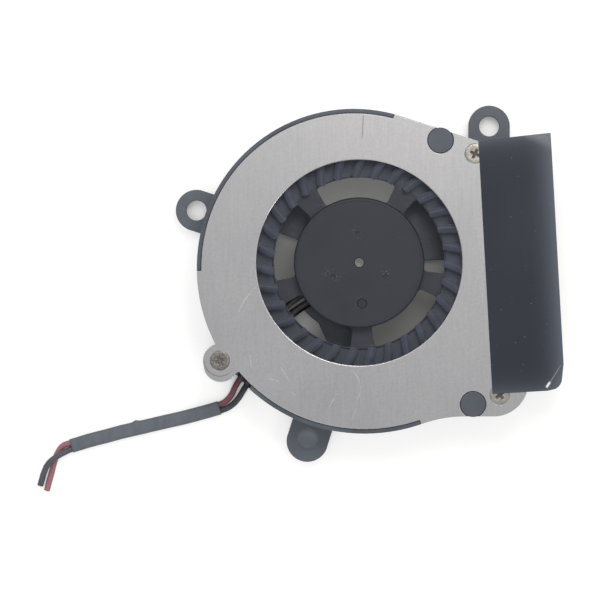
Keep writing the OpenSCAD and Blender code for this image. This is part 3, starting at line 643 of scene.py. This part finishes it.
sleeve_path = metres((*point, SLEEVE_Z) for point in SLEEVE_LINE)
red_path = metres(RED_OUT) + beside(sleeve_path, -LEAD_SHIFT) + metres(RED_END)
black_path = metres(BLACK_OUT) + beside(sleeve_path, LEAD_SHIFT) + metres(BLACK_END)
red_wire = finish_piece(wire("red_wire", red_path, LEAD_D), "housing", red_pvc, ["red_lead"])
black_wire = finish_piece(wire("black_wire", black_path, LEAD_D), "housing", black_pvc,
                          ["black_lead"])


# Sleeve: a flattened tube around both leads, with a small pinch on its upper edge

SLEEVE_HALF = (1.24 * MM, 0.72 * MM)
SLEEVE_WALL = 0.12 * MM
SLEEVE_SIDES = 40
SLEEVE_STEPS = 8
SLEEVE_LOWEST = 0.03 * MM
PINCH_AT = Vector((-40.4, -28.4, 0)) * MM
PINCH_HEIGHT = 0.42 * MM
PINCH_REACH = 0.8 * MM
CREASE_HEIGHT = 0.05 * MM
CREASE_LENGTH = 1.7 * MM
# Share of the swelling that the flat faces take
FLAT_SWELL = 0.25


def catmull(points, steps):
    """Smooth points through the given ones, with that many steps for each stretch."""
    ends = [2 * points[0] - points[1]] + points + [2 * points[-1] - points[-2]]
    smooth = []
    for a, b, c, d in zip(ends, ends[1:], ends[2:], ends[3:]):
        for i in range(steps):
            t = i / steps
            smooth.append(0.5 * (2 * b + (c - a) * t + (2 * a - 5 * b + 4 * c - d) * t * t
                                 + (3 * b - a - 3 * c + d) * t ** 3))
    return smooth + [points[-1]]


def sleeve_ring(middle, side, shrink):
    """One ring of the tube; creases and the pinch only swell it, so that it clears the leads."""
    half_x, half_z = SLEEVE_HALF[0] - shrink, SLEEVE_HALF[1] - shrink
    ring = []
    for k in range(SLEEVE_SIDES):
        turn = 2 * math.pi * (k + 0.5) / SLEEVE_SIDES
        out = side * math.copysign(half_x - half_z, math.cos(turn)) + half_z * (
            math.cos(turn) * side + math.sin(turn) * UP)
        place = middle + out
        swell = CREASE_HEIGHT * (0.5 + 0.5 * noise.noise(place / CREASE_LENGTH))
        near = ((place - PINCH_AT).xy.length / PINCH_REACH) ** 2
        swell += PINCH_HEIGHT * math.exp(-3 * near)
        place += swell * out.normalized() * max(FLAT_SWELL, abs(math.cos(turn)))
        place.z = max(place.z, SLEEVE_LOWEST)
        ring.append(place)
    return ring


def make_sleeve():
    path = catmull(sleeve_path, SLEEVE_STEPS)
    outer, inner = ([sleeve_ring(middle, side, shrink) for middle, side in zip(path, sides_of(path))]
                    for shrink in (0, SLEEVE_WALL))
    sleeve = skinned("lead_tube", outer + inner[::-1], closed=True)
    sleeve.data.shade_smooth()
    return finish_piece(sleeve, "housing", sleeve_tube, ["lead_sleeve"])


lead_tube = make_sleeve()


# Cut ends: seven strands stand a little out of the insulation, six of them around one

STRANDS = 7
STRAND_D = 0.16 * MM
STRAND_RING = 0.18 * MM
STRAND_OUT = 0.07 * MM
STRAND_SIDES = 10
STRAND_TAPER = 0.84


def cut_end(name, path):
    run = (path[-1] - path[-2]).normalized()
    side = UP.cross(run).normalized()
    up = run.cross(side)
    turned = Matrix((side, up, run)).transposed().to_4x4()
    bm = bmesh.new()
    for k in range(STRANDS):
        turn = 2 * math.pi * k / (STRANDS - 1)
        ring = STRAND_RING if k < STRANDS - 1 else 0
        turned.translation = path[-1] + ring * (math.cos(turn) * side + math.sin(turn) * up)
        reach = STRAND_OUT * (0.6 + 0.4 * math.cos(5 * turn))
        bmesh.ops.create_cone(bm, cap_ends=True, segments=STRAND_SIDES, radius1=STRAND_D / 2,
                              radius2=STRAND_TAPER * STRAND_D / 2, depth=2 * reach, matrix=turned)
    return finish_piece(piece_from_bmesh(name, bm), "housing", bare_copper)


red_strands = cut_end("red_strands", red_path)
black_strands = cut_end("black_strands", black_path)


# Leads inside the housing: side by side in the wire guide, from the board to the notch

GUIDE_TURN = 213.5
GUIDE_RADII = (10.32, 12.4, 14.2)
GUIDE_BEND = 15.2 * direction(GUIDE_TURN)
GUIDE_EXIT = Vector((-20.94, -21.61, 0))
# Places of the points between the bend and the exit, as shares of the way
GUIDE_SHARES = (0.1, 0.4, 0.7, 1.0)
GUIDE_Z = 1.0
# Distance of each lead from the middle of the guide
GUIDE_SHIFT = 0.8


def inner_lead(name, shift, node):
    side = UP.cross(direction(GUIDE_TURN))
    after = UP.cross((GUIDE_EXIT - GUIDE_BEND).normalized())
    path = [r * direction(GUIDE_TURN) + shift * side for r in GUIDE_RADII]
    path += [GUIDE_BEND.lerp(GUIDE_EXIT, t) + shift * after for t in GUIDE_SHARES]
    lead = wire(name, metres([p + GUIDE_Z * UP for p in path]), LEAD_D)
    return finish_piece(lead, "housing", soot_and_light_pvc, [node])


inner_lead("red_tail", -GUIDE_SHIFT, "red_lead_inner")
inner_lead("black_tail", GUIDE_SHIFT, "black_lead_inner")


# Geometry trees for what repeats

def geometry_tree(name, **sockets):
    """A geometry tree with a geometry in and out and the named inputs, with the outputs of its start."""
    tree = bpy.data.node_groups.new(name, "GeometryNodeTree")
    tree.interface.new_socket("Geometry", in_out="INPUT", socket_type="NodeSocketGeometry")
    tree.interface.new_socket("Geometry", in_out="OUTPUT", socket_type="NodeSocketGeometry")
    for title, kind in sockets.items():
        tree.interface.new_socket(title.replace("_", " "), in_out="INPUT", socket_type=f"NodeSocket{kind}")
    return tree, add(tree, "NodeGroupInput").node.outputs


def finish_tree(tree, instances, finish):
    """Ends a tree: the instances become one mesh with one material."""
    real = add(tree, "GeometryNodeRealizeInstances", {"Geometry": instances})
    done = add(tree, "GeometryNodeSetMaterial", {"Geometry": real, "Material": finish})
    add(tree, "NodeGroupOutput", {"Geometry": done})
    return tree


def run_tree(piece, tree, values):
    """Puts the tree on the piece with its named inputs and keeps the plain mesh that it makes."""
    modifier = piece.modifiers.new(tree.name, "NODES")
    modifier.node_group = tree
    for socket in tree.interface.items_tree:
        if socket.in_out == "INPUT" and socket.name in values:
            modifier[socket.identifier] = values[socket.name]
    return applied(piece)


# Cover screws: one countersunk screw with a cross recess, set in three places

# X, Y, turn of the recess and wear of each screw
SCREW_POINTS = [(-25.1, -17.66, 20, 1.0), (20.84, 19.6, 65, 0.1), (25.3, -23.8, 40, 0.25)]
HEAD_R = 1.8
HEAD_T = 0.6
SHANK_R = 0.95
SHANK_L = 4.95
SCREW_SIDES = 48
# Screw as radius and height, from its point to the top of its head, which is at height zero
SCREW_TURN = [(0.7 * SHANK_R, -HEAD_T - SHANK_L), (SHANK_R, 0.4 - HEAD_T - SHANK_L),
              (SHANK_R, 0.25 - 2 * HEAD_T), (HEAD_R - HEAD_T, -HEAD_T), (HEAD_R, -0.12),
              (HEAD_R - 0.03, -0.04), (HEAD_R - 0.1, -0.01), (HEAD_R - 0.4, 0)]
SCREW_EDGE = 0.03
RECESS_T = 0.3
# Length and width of the cross at that depth, and at the same height above the head
RECESS_BOTTOM = (1.302, 0.364)
RECESS_ABOVE = (2.898, 0.676)


def cross_outline(length, width, z):
    """Twelve corners of a cross."""
    a, b = length / 2, width / 2
    corners = [(a, -b), (a, b), (b, b)]
    for k in range(9):
        x, y = corners[k]
        corners.append((-y, x))
    return [Vector((x, y, z)) * MM for x, y in corners]


def make_screw():
    outlines = [cross_outline(*RECESS_BOTTOM, -RECESS_T), cross_outline(*RECESS_ABOVE, RECESS_T)]
    screw = cut(lathe("screw", SCREW_TURN, SCREW_SIDES), skinned("recess", outlines))
    return round_edges(screw, SCREW_EDGE, 2, sharper_than=40)


def screw_tree():
    """Sets the screw on each point, turned by the point's own angle."""
    tree, given = geometry_tree("Cover screws", Screw="Object", Finish="Material")
    shape = add(tree, "GeometryNodeObjectInfo", {"Object": given["Screw"]}, out="Geometry")
    turn = add(tree, "GeometryNodeInputNamedAttribute", {"Name": "turn"}, data_type="FLOAT")
    spin = add(tree, "FunctionNodeAxisAngleToRotation", {"Axis": UP, "Angle": turn})
    copies = {"Points": given["Geometry"], "Instance": shape, "Rotation": spin}
    copies = add(tree, "GeometryNodeInstanceOnPoints", copies)
    return finish_tree(tree, copies, given["Finish"])


def make_screws():
    places = bpy.data.meshes.new("screw_places")
    places.from_pydata([(x * MM, y * MM, plate_top) for x, y, turn, worn in SCREW_POINTS], [], [])
    turns = places.attributes.new("turn", "FLOAT", "POINT")
    wear = places.attributes.new("worn", "FLOAT", "POINT")
    for k, (x, y, turn, worn) in enumerate(SCREW_POINTS):
        turns.data[k].value = math.radians(turn)
        wear.data[k].value = worn
    screw = make_screw()
    given = {"Screw": screw, "Finish": screw_nickel}
    screws = run_tree(piece_from("head_screws", places), screw_tree(), given)
    bpy.data.objects.remove(screw)
    return finish_piece(screws, "housing", screw_nickel, ["cover_screws"])


make_screws()


# Housing and cover: the CAD solids with the rounded edges that moulding and stamping leave

# Slot in the wire guide's floor: its distance from the axis, and its length, width and height
GUIDE_SLOT_AT = 14.0
GUIDE_SLOT = (4.4, 0.46, 2.0)
HOUSING_EDGE = 0.16
COVER_EDGE = 0.24
# An edge this near the inlet's radius belongs to the inlet, and this near a screw to a screw hole
NEAR_INLET = 0.2
NEAR_SCREW = 2.4


def guide_slot():
    """Cutter for the slot between the two leads, through which the table shows."""
    bm = bmesh.new()
    turned = Matrix.Rotation(math.radians(GUIDE_TURN), 4, "Z")
    moved = Matrix.Translation((GUIDE_SLOT_AT * MM, 0, 0))
    sized = Matrix.Diagonal((*(size * MM for size in GUIDE_SLOT), 1))
    bmesh.ops.create_cube(bm, size=1, matrix=turned @ moved @ sized)
    return piece_from_bmesh("guide_slot", bm)


def stamped_share(place):
    """The inlet's edge is rolled over, the screw holes stay crisp, and the outline is in between."""
    if abs(place.xy.length - INLET_R) < NEAR_INLET:
        return 1.0
    nearest = min((place.xy - Vector((x, y))).length for x, y, turn, worn in SCREW_POINTS)
    return 0.12 if nearest < NEAR_SCREW else 0.6


housing = round_edges(cut(merged_copy("base_frame", "scroll_housing"), guide_slot()), HOUSING_EDGE, 2)
finish_piece(housing, "housing", frame_plastic, ["base_frame"])
cover = round_edges(merged_copy("cover_plate", "cover_sheet"), COVER_EDGE, 3, share=stamped_share)
finish_piece(cover, "housing", cover_aluminium, ["cover_plate"])


# Impeller: hub, spokes and web with the CAD solid's sizes

HUB_SIDES = 144
HUB_R = 11.75
HUB_TURN = [(10.95, 2.6), (HUB_R, 2.6), (HUB_R, 8.75), (11.66, 9.02), (11.42, 9.17), (11.2, 9.2),
            (11.14, 9.13), (11.04, 9.13), (10.98, 9.2), (0.92, 9.2), (0.92, 7.28), (2.1, 7.28), (2.1, 8.4),
            (10.95, 8.4)]
HUB_EDGE = 0.04
# Gate marks and the dimple in the hub's top: directions, distance from the axis, then radius and depth
GATE_TURNS = (92, 208, 333)
GATE_RING = 5.25
GATE_MARK = (0.42, 0.1)
DIMPLE_TURN = 274
DIMPLE_RING = 7.4
DIMPLE = (0.95, 0.3)
MARK_SIDES = 28
WEB_Z = 5.72
WEB_T = 0.9
WEB_IN_R = 15.35
WEB_OUT_R = 22.1
WEB_OUT_SIDES = 160
SPOKES = 5
SPOKE_T = 1.2
FIRST_SPOKE = 56.5
SPOKE_SPAN = 16.5
WINDOW_ROUND = 0.6
RING_SIDES = 128
# How far the spokes reach into the hub and past their windows, and how far outside these the web begins
SPOKE_IN_HUB = 0.4
SPOKE_PAST = 0.3
WEB_PAST = 0.08
PLATE_EDGE = 0.08
CORNER_STEPS = 6
ARC_STEPS = 20


def hub_marks():
    """Cutter for the three gate marks and the dimple in the hub's top."""
    bm = bmesh.new()
    marks = [(direction(t) * GATE_RING, GATE_MARK) for t in GATE_TURNS]
    marks.append((direction(DIMPLE_TURN) * DIMPLE_RING, DIMPLE))
    for place, (radius, depth) in marks:
        # The cone has the mark's own radius at the hub's top
        middle = Matrix.Translation(place * MM + hub_top * UP)
        bmesh.ops.create_cone(bm, cap_ends=True, segments=MARK_SIDES, radius1=0.8 * radius * MM,
                              radius2=1.2 * radius * MM, depth=2 * depth * MM, matrix=middle)
    return piece_from_bmesh("hub_marks", bm)


def arc(centre, radius, start, end, steps):
    return [centre + radius * direction(start + (end - start) * i / steps) for i in range(steps + 1)]


def window_outline(inner, outer, start, end, corner):
    """Rounded window between two spokes."""
    low, high = inner + corner, outer - corner
    lean_in = math.degrees(math.asin(corner / low))
    lean_out = math.degrees(math.asin(corner / high))
    centre = Vector((0, 0, 0))
    line = arc(low * direction(start + lean_in), corner, start + lean_in + 180, start + 270, CORNER_STEPS)
    line += arc(high * direction(start + lean_out), corner, start + 270, start + lean_out + 360, CORNER_STEPS)
    line += arc(centre, outer, start + lean_out, end - lean_out, ARC_STEPS)[1:-1]
    line += arc(high * direction(end - lean_out), corner, end - lean_out, end + 90, CORNER_STEPS)
    line += arc(low * direction(end - lean_in), corner, end + 90, end - lean_in + 180, CORNER_STEPS)
    return line + arc(centre, inner, end - lean_in, start + lean_in, ARC_STEPS)[1:-1]


def flat_ring(name, loops, low, thickness):
    """Plate with holes from its outlines, with rounded edges."""
    curve = bpy.data.curves.new(name, "CURVE")
    curve.dimensions = "2D"
    curve.fill_mode = "BOTH"
    curve.extrude = (thickness / 2 - PLATE_EDGE) * MM
    curve.bevel_depth = PLATE_EDGE * MM
    curve.bevel_resolution = 2
    curve.offset = -PLATE_EDGE * MM
    for loop in loops:
        spline = curve.splines.new("POLY")
        spline.points.add(len(loop) - 1)
        spline.use_cyclic_u = True
        for point, place in zip(spline.points, loop):
            point.co = (*(place * MM), 1)
    plate = applied(piece_from(name, curve))
    bm = bmesh.new()
    bm.from_mesh(plate.data)
    bmesh.ops.remove_doubles(bm, verts=bm.verts, dist=0.001 * MM)
    bmesh.ops.translate(bm, verts=bm.verts, vec=(0, 0, (low + thickness / 2) * MM))
    bmesh.ops.recalc_face_normals(bm, faces=bm.faces)
    bm.to_mesh(plate.data)
    bm.free()
    return level_normals(plate)


def ring_of_spokes():
    pitch = 360 / SPOKES
    loops = [circle_points(r, RING_SIDES) for r in (WEB_IN_R + SPOKE_PAST, HUB_R - SPOKE_IN_HUB)]
    for k in range(SPOKES):
        start = FIRST_SPOKE + SPOKE_SPAN / 2 + pitch * k
        loops.append(window_outline(HUB_R, WEB_IN_R, start, start + pitch - SPOKE_SPAN, WINDOW_ROUND))
    return flat_ring("impeller_spokes", loops, WEB_Z, SPOKE_T)


def web_ring():
    loops = [circle_points(WEB_OUT_R, WEB_OUT_SIDES), circle_points(WEB_IN_R + WEB_PAST, RING_SIDES)]
    return flat_ring("impeller_web", loops, WEB_Z, WEB_T)


hub_blank = lathe("impeller_hub", HUB_TURN, HUB_SIDES, closed=True)
hub = round_edges(cut(hub_blank, hub_marks()), HUB_EDGE, 2, sharper_than=50)
finish_piece(hub, "rotor", hub_pbt, ["impeller"])
finish_piece(ring_of_spokes(), "rotor", spoke_pbt)
finish_piece(web_ring(), "rotor", blade_pbt)


# Blades: a ring of one blade, broader and rounder than the CAD blade, as the photograph shows them

BLADES = 31
BLADE_OUT_R = 22.5
BLADE_SWEEP = 9
BLADE_BOW_R = 24
BLADE_T = 1.5
BLADE_Z = (2.2, 8.6)
BLADE_ROUND = 0.66
ROUND_STEP = 15
BLADE_STEPS = 14
# Rounding of a blade's ends: distance from the end and share of the thickness there
BLADE_ENDS = [(0.0, 0.4), (0.07, 0.75), (0.2, 0.95), (0.4, 1.0)]
DUST_SEED = 7


def blade_section(thickness):
    """Rounded upright rectangle as offsets across the blade and heights."""
    low, high = BLADE_Z
    r = min(BLADE_ROUND, 0.45 * thickness)
    side = thickness / 2 - r
    corners = [(side, low + r, -90), (side, high - r, 0), (-side, high - r, 90), (-side, low + r, 180)]
    section = []
    for x, z, start in corners:
        for turn in range(start, start + 91, ROUND_STEP):
            section.append((x + r * direction(turn).x, z + r * direction(turn).y))
    return section


def make_blade():
    """One bowed blade with rounded ends; its root lies on the X axis and its tip trails it."""
    root = Vector((WEB_IN_R, 0, 0))
    tip = BLADE_OUT_R * direction(-BLADE_SWEEP)
    chord = (tip - root).length
    along = (tip - root) / chord
    rise = math.sqrt(BLADE_BOW_R ** 2 - chord ** 2 / 4)
    centre = (root + tip) / 2 - rise * UP.cross(along)
    start = math.atan2(root.y - centre.y, root.x - centre.x)
    length = 2 * math.asin(chord / 2 / BLADE_BOW_R) * BLADE_BOW_R
    stations = [*BLADE_ENDS, *((length * k / BLADE_STEPS, 1.0) for k in range(1, BLADE_STEPS)),
                *((length - d, t) for d, t in reversed(BLADE_ENDS))]
    rings = []
    for run, share in stations:
        out = direction(math.degrees(start - run / BLADE_BOW_R))
        section = blade_section(BLADE_T * share)
        rings.append([(centre + (BLADE_BOW_R + x) * out + z * UP) * MM for x, z in section])
    return smooth_up_to(skinned("impeller_blades", rings), 50)


def blade_ring_tree():
    """Turns copies of one blade around the axis, each with its own share of dust."""
    tree, given = geometry_tree("Blade ring", Blades="Int", First_Blade="Float", Finish="Material")
    points = add(tree, "GeometryNodePoints", {"Count": given["Blades"]})
    index = add(tree, "GeometryNodeInputIndex")
    pitch = add(tree, "ShaderNodeMath", {0: math.tau, 1: given["Blades"]}, operation="DIVIDE")
    turn = {0: index, 1: pitch, 2: given["First Blade"]}
    turn = add(tree, "ShaderNodeMath", turn, operation="MULTIPLY_ADD")
    spin = add(tree, "FunctionNodeAxisAngleToRotation", {"Axis": UP, "Angle": turn})
    copies = {"Points": points, "Instance": given["Geometry"], "Rotation": spin}
    copies = add(tree, "GeometryNodeInstanceOnPoints", copies)
    share = add(tree, "FunctionNodeRandomValue", {"Seed": DUST_SEED}, data_type="FLOAT")
    dusted = {"Geometry": copies, "Name": "dust", "Value": share}
    dusted = add(tree, "GeometryNodeStoreNamedAttribute", dusted, domain="INSTANCE", data_type="FLOAT")
    return finish_tree(tree, dusted, given["Finish"])


blade_ring = {"Blades": BLADES, "First Blade": 0.0, "Finish": blade_pbt}
blades = run_tree(make_blade(), blade_ring_tree(), blade_ring)
finish_piece(blades, "rotor", blade_pbt)


# Shaft: a ground pin with a chamfer and a centre mark in its end

SHAFT_TURN = [(0.65, 0.85), (0.9, 1.0), (0.9, 9.05), (0.8, 9.15), (0.34, 9.15), (0.05, 9.03)]
SHAFT_SIDES = 64
shaft = smooth_up_to(lathe("motor_shaft", SHAFT_TURN, SHAFT_SIDES), 30)
finish_piece(shaft, "rotor", shaft_steel, ["rotor_shaft"])


# Outlet film: lies on the cover, sags beyond the outlet, with one corner bent down and one curled

tape_low, tape_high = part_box("outlet_tape")
TAPE_MIDDLE = Vector((29.25, -0.5, 0))
TAPE_TILT = 3.2
TAPE_HALF = (6.55, 22.8)
TAPE_SLANT = 0.8
TAPE_CORNER = 1.6
OUTLET_X = 30.5
# Sag of the film's free part, at that distance beyond the outlet
TAPE_SAG = 0.3
SAG_AT = 6
# Creases of the film, in its own X and Y: from, to, angle and rounding
BENDS = [((6.25, -18.13), (3.73, -21.94), 46, 0.5), ((2.1, 22.3), (5.6, 20.6), 20, 10)]
# Grid lines of the film as stops and the steps up to each: fine where the corners bend
TAPE_ACROSS = [(-TAPE_HALF[0], 0), (1.5, 12), (TAPE_HALF[0], 50)]
TAPE_ALONG = [(-TAPE_HALF[1], 0), (-17.5, 53), (19, 60), (TAPE_HALF[1], 38)]


def grid_lines(stops):
    lines = [stops[0][0]]
    for (start, _), (end, steps) in zip(stops, stops[1:]):
        lines += [start + (end - start) * k / steps for k in range(1, steps + 1)]
    return lines


def bent(distance, angle, rounding):
    """Reach and drop of film bent over a crease, at that distance beyond it."""
    turned = min(distance / rounding, angle)
    rest = max(distance - rounding * angle, 0)
    reach = rounding * math.sin(turned) + rest * math.cos(angle)
    return reach, rounding * (1 - math.cos(turned)) + rest * math.sin(angle)


def film_point(u, v):
    """Place on the film from its own X and Y; height zero lies on the cover."""
    half_w, half_l = TAPE_HALF
    place = Vector((u, v + TAPE_SLANT * (u + half_w) / (2 * half_w) * max(v / half_l, 0) ** 4, 0))
    a, b = (u - half_w) / TAPE_CORNER + 1, (-v - half_l) / TAPE_CORNER + 1
    if a > 0 and b > 0:
        place.x += TAPE_CORNER * a * (math.sqrt(1 - b * b / 2) - 1)
        place.y -= TAPE_CORNER * b * (math.sqrt(1 - a * a / 2) - 1)
    for start, end, degrees, rounding in BENDS:
        start, end = Vector((*start, 0)), Vector((*end, 0))
        out = (end - start).normalized().cross(UP)
        out *= math.copysign(1, (start + end).dot(out))
        beyond = (place - start).dot(out)
        if beyond > 0:
            reach, drop = bent(beyond, math.radians(degrees), rounding)
            place += (reach - beyond) * out
            place.z -= drop
    place.rotate(Matrix.Rotation(math.radians(TAPE_TILT), 3, "Z"))
    place += TAPE_MIDDLE
    over = max(place.x - OUTLET_X, 0)
    # The sag comes and goes a little along the film
    place.z -= TAPE_SAG * (over / SAG_AT) ** 2 * (0.75 + 0.25 * math.sin(0.35 * v + 1))
    return place


def rim_share(u, v):
    """How near a free edge a place on the film is, from 0 to 1."""
    half_w, half_l = TAPE_HALF
    side, end = max(u / half_w, 0), abs(v) / half_l
    return min(side ** 3 + 0.6 * end ** 16, 1)


def make_film():
    across, along = grid_lines(TAPE_ACROSS), grid_lines(TAPE_ALONG)
    bm = bmesh.new()
    rim = bm.verts.layers.float.new("rim")
    rows = []
    for v in along:
        row = [film_point(u, v) * MM for u in across]
        upper, lower = ([bm.verts.new(p + z * UP) for p in row] for z in (tape_high.z, tape_low.z))
        for u, *pair in zip(across, upper, lower):
            for vert in pair:
                vert[rim] = rim_share(u, v)
        rows.append(upper + lower[::-1])
    join_rings(bm, rows)
    for row in (rows[0], rows[-1]):
        for i in range(len(across) - 1):
            bm.faces.new((row[i], row[i + 1], row[-i - 2], row[-i - 1]))
    bmesh.ops.recalc_face_normals(bm, faces=bm.faces)
    film = smooth_up_to(piece_from_bmesh("outlet_film", bm), 50)
    return finish_piece(film, "housing", tape_film, ["outlet_tape"])


make_film()


# CAD nodes that keep their shape and take a material

KEPT = {"rotor_yoke": yoke_steel, "rotor_magnet": ferrite, "stator_core": core_steel,
        "bobbin_upper": bobbin_plastic, "bobbin_lower": bobbin_plastic, "coil_1": coil_wire,
        "coil_2": coil_wire, "coil_3": coil_wire, "coil_4": coil_wire, "coil_pins": pin_metal,
        "motor_board": green_board, "driver_chip": chip_plastic, "board_capacitor": ceramic,
        "solder_joints": solder_metal, "bearing_tube": tube_brass, "sleeve_bearing": bronze,
        "thrust_pad": pad_nylon, "shaft_clip": pad_nylon, "oil_ring": pad_nylon}
for node_name, kept_material in KEPT.items():
    nodes[node_name].data.materials.clear()
    nodes[node_name].data.materials.append(kept_material)


# Floor and light

FLOOR_SIZE = 3000 * MM
# Radii between which the table goes from grey, painted shade under the impeller, to white
SHADE_UNDER_FAN = (19 * MM, 23 * MM)
# Painted light on the table seen through the windows: its glow from one Y to another, and a painted pool of
# light added beside the wire guide
SHADE_Y = (2 * MM, 13 * MM)
SHADE_GLOW = (0.062, 0.125)
GUIDE_LIGHT_POOL = (-9.8, -11.2, 3.5, -1, 3)
GUIDE_GLOW = 0.1
# Glow of the open table, and the shares of open sky between which it sets in
OPEN_GLOW = 0.62
OPEN_SKY = (0.05, 0.35)
SKY_REACH = 12
WORLD_GLOW = 0.6


def floor_material():
    """Pale matt table. What the camera and reflections see is lifted to white, except where it is covered and
    under the impeller, where painted shade and light make it show grey through the windows."""
    made = bpy.data.materials.new("Pale matt table")
    made.use_nodes = True
    tree = made.node_tree
    tree.nodes.clear()
    where = add(tree, "ShaderNodeTexCoord", out="Object")
    rays = add(tree, "ShaderNodeLightPath").node.outputs
    seen = strongest(tree, [rays[f"Is {kind} Ray"] for kind in ("Camera", "Glossy", "Transmission")])
    outside = {"Value": distance(tree, where), "From Min": SHADE_UNDER_FAN[0], "From Max": SHADE_UNDER_FAN[1]}
    outside = add(tree, "ShaderNodeMapRange", outside)
    bare = {0: sky_share(tree, SKY_REACH, *OPEN_SKY, samples=12), 1: outside}
    bare = add(tree, "ShaderNodeMath", bare, operation="MULTIPLY")
    along = by_part(tree, where, "Y", *SHADE_Y)
    shade = {"Value": along, "To Min": SHADE_GLOW[0], "To Max": SHADE_GLOW[1]}
    shade = add(tree, "ShaderNodeMapRange", shade)
    shade = {0: disc(tree, where, *GUIDE_LIGHT_POOL), 1: GUIDE_GLOW, 2: shade}
    shade = add(tree, "ShaderNodeMath", shade, operation="MULTIPLY_ADD")
    level = add(tree, "ShaderNodeMapRange", {"Value": bare, "To Min": shade, "To Max": OPEN_GLOW})
    lift = add(tree, "ShaderNodeMath", {0: seen, 1: level}, operation="MULTIPLY")
    glow = add(tree, "ShaderNodeEmission", {"Strength": lift})
    matt = add(tree, "ShaderNodeBsdfDiffuse", {"Color": layered(tree, "#7d7d7a", (outside, 1, "#c0c0be"))})
    both = add(tree, "ShaderNodeAddShader", {0: glow, 1: matt})
    add(tree, "ShaderNodeOutputMaterial", {"Surface": both})
    return made


def make_floor():
    bm = bmesh.new()
    bmesh.ops.create_grid(bm, x_segments=1, y_segments=1, size=FLOOR_SIZE / 2)
    floor = piece_from_bmesh("floor", bm)
    floor.data.materials.append(floor_material())


def softbox(name, place, size, watts, colour="#ffffff"):
    """Square area light that faces the fan."""
    lamp = bpy.data.lights.new(name, "AREA")
    lamp.size = size * MM
    lamp.energy = watts
    lamp.color = linear(colour)[:3]
    made = bpy.data.objects.new(name, lamp)
    made.location = Vector(place) * MM
    made.rotation_euler = (-made.location).to_track_quat("-Z", "Y").to_euler()
    scene.collection.objects.link(made)


def make_world():
    """White behind everything for the camera, and a dimmer white light for the rest."""
    world = bpy.data.worlds.new("studio")
    world.use_nodes = True
    tree = world.node_tree
    tree.nodes.clear()
    ray = add(tree, "ShaderNodeLightPath", out="Is Camera Ray")
    level = add(tree, "ShaderNodeMapRange", {"Value": ray, "To Min": WORLD_GLOW, "To Max": 1.0})
    glow = add(tree, "ShaderNodeBackground", {"Color": "#ffffff", "Strength": level})
    add(tree, "ShaderNodeOutputWorld", {"Surface": glow})
    scene.world = world


make_floor()
make_world()
softbox("key_softbox", (40, 120, 220), 120, 0.24, "#fffdf9")
softbox("fill_softbox", (-300, -540, 480), 500, 0.95, "#fafbff")
softbox("side_softbox", (-330, 260, 330), 260, 0.3)
softbox("rim_softbox", (420, -280, 400), 120, 0.35)
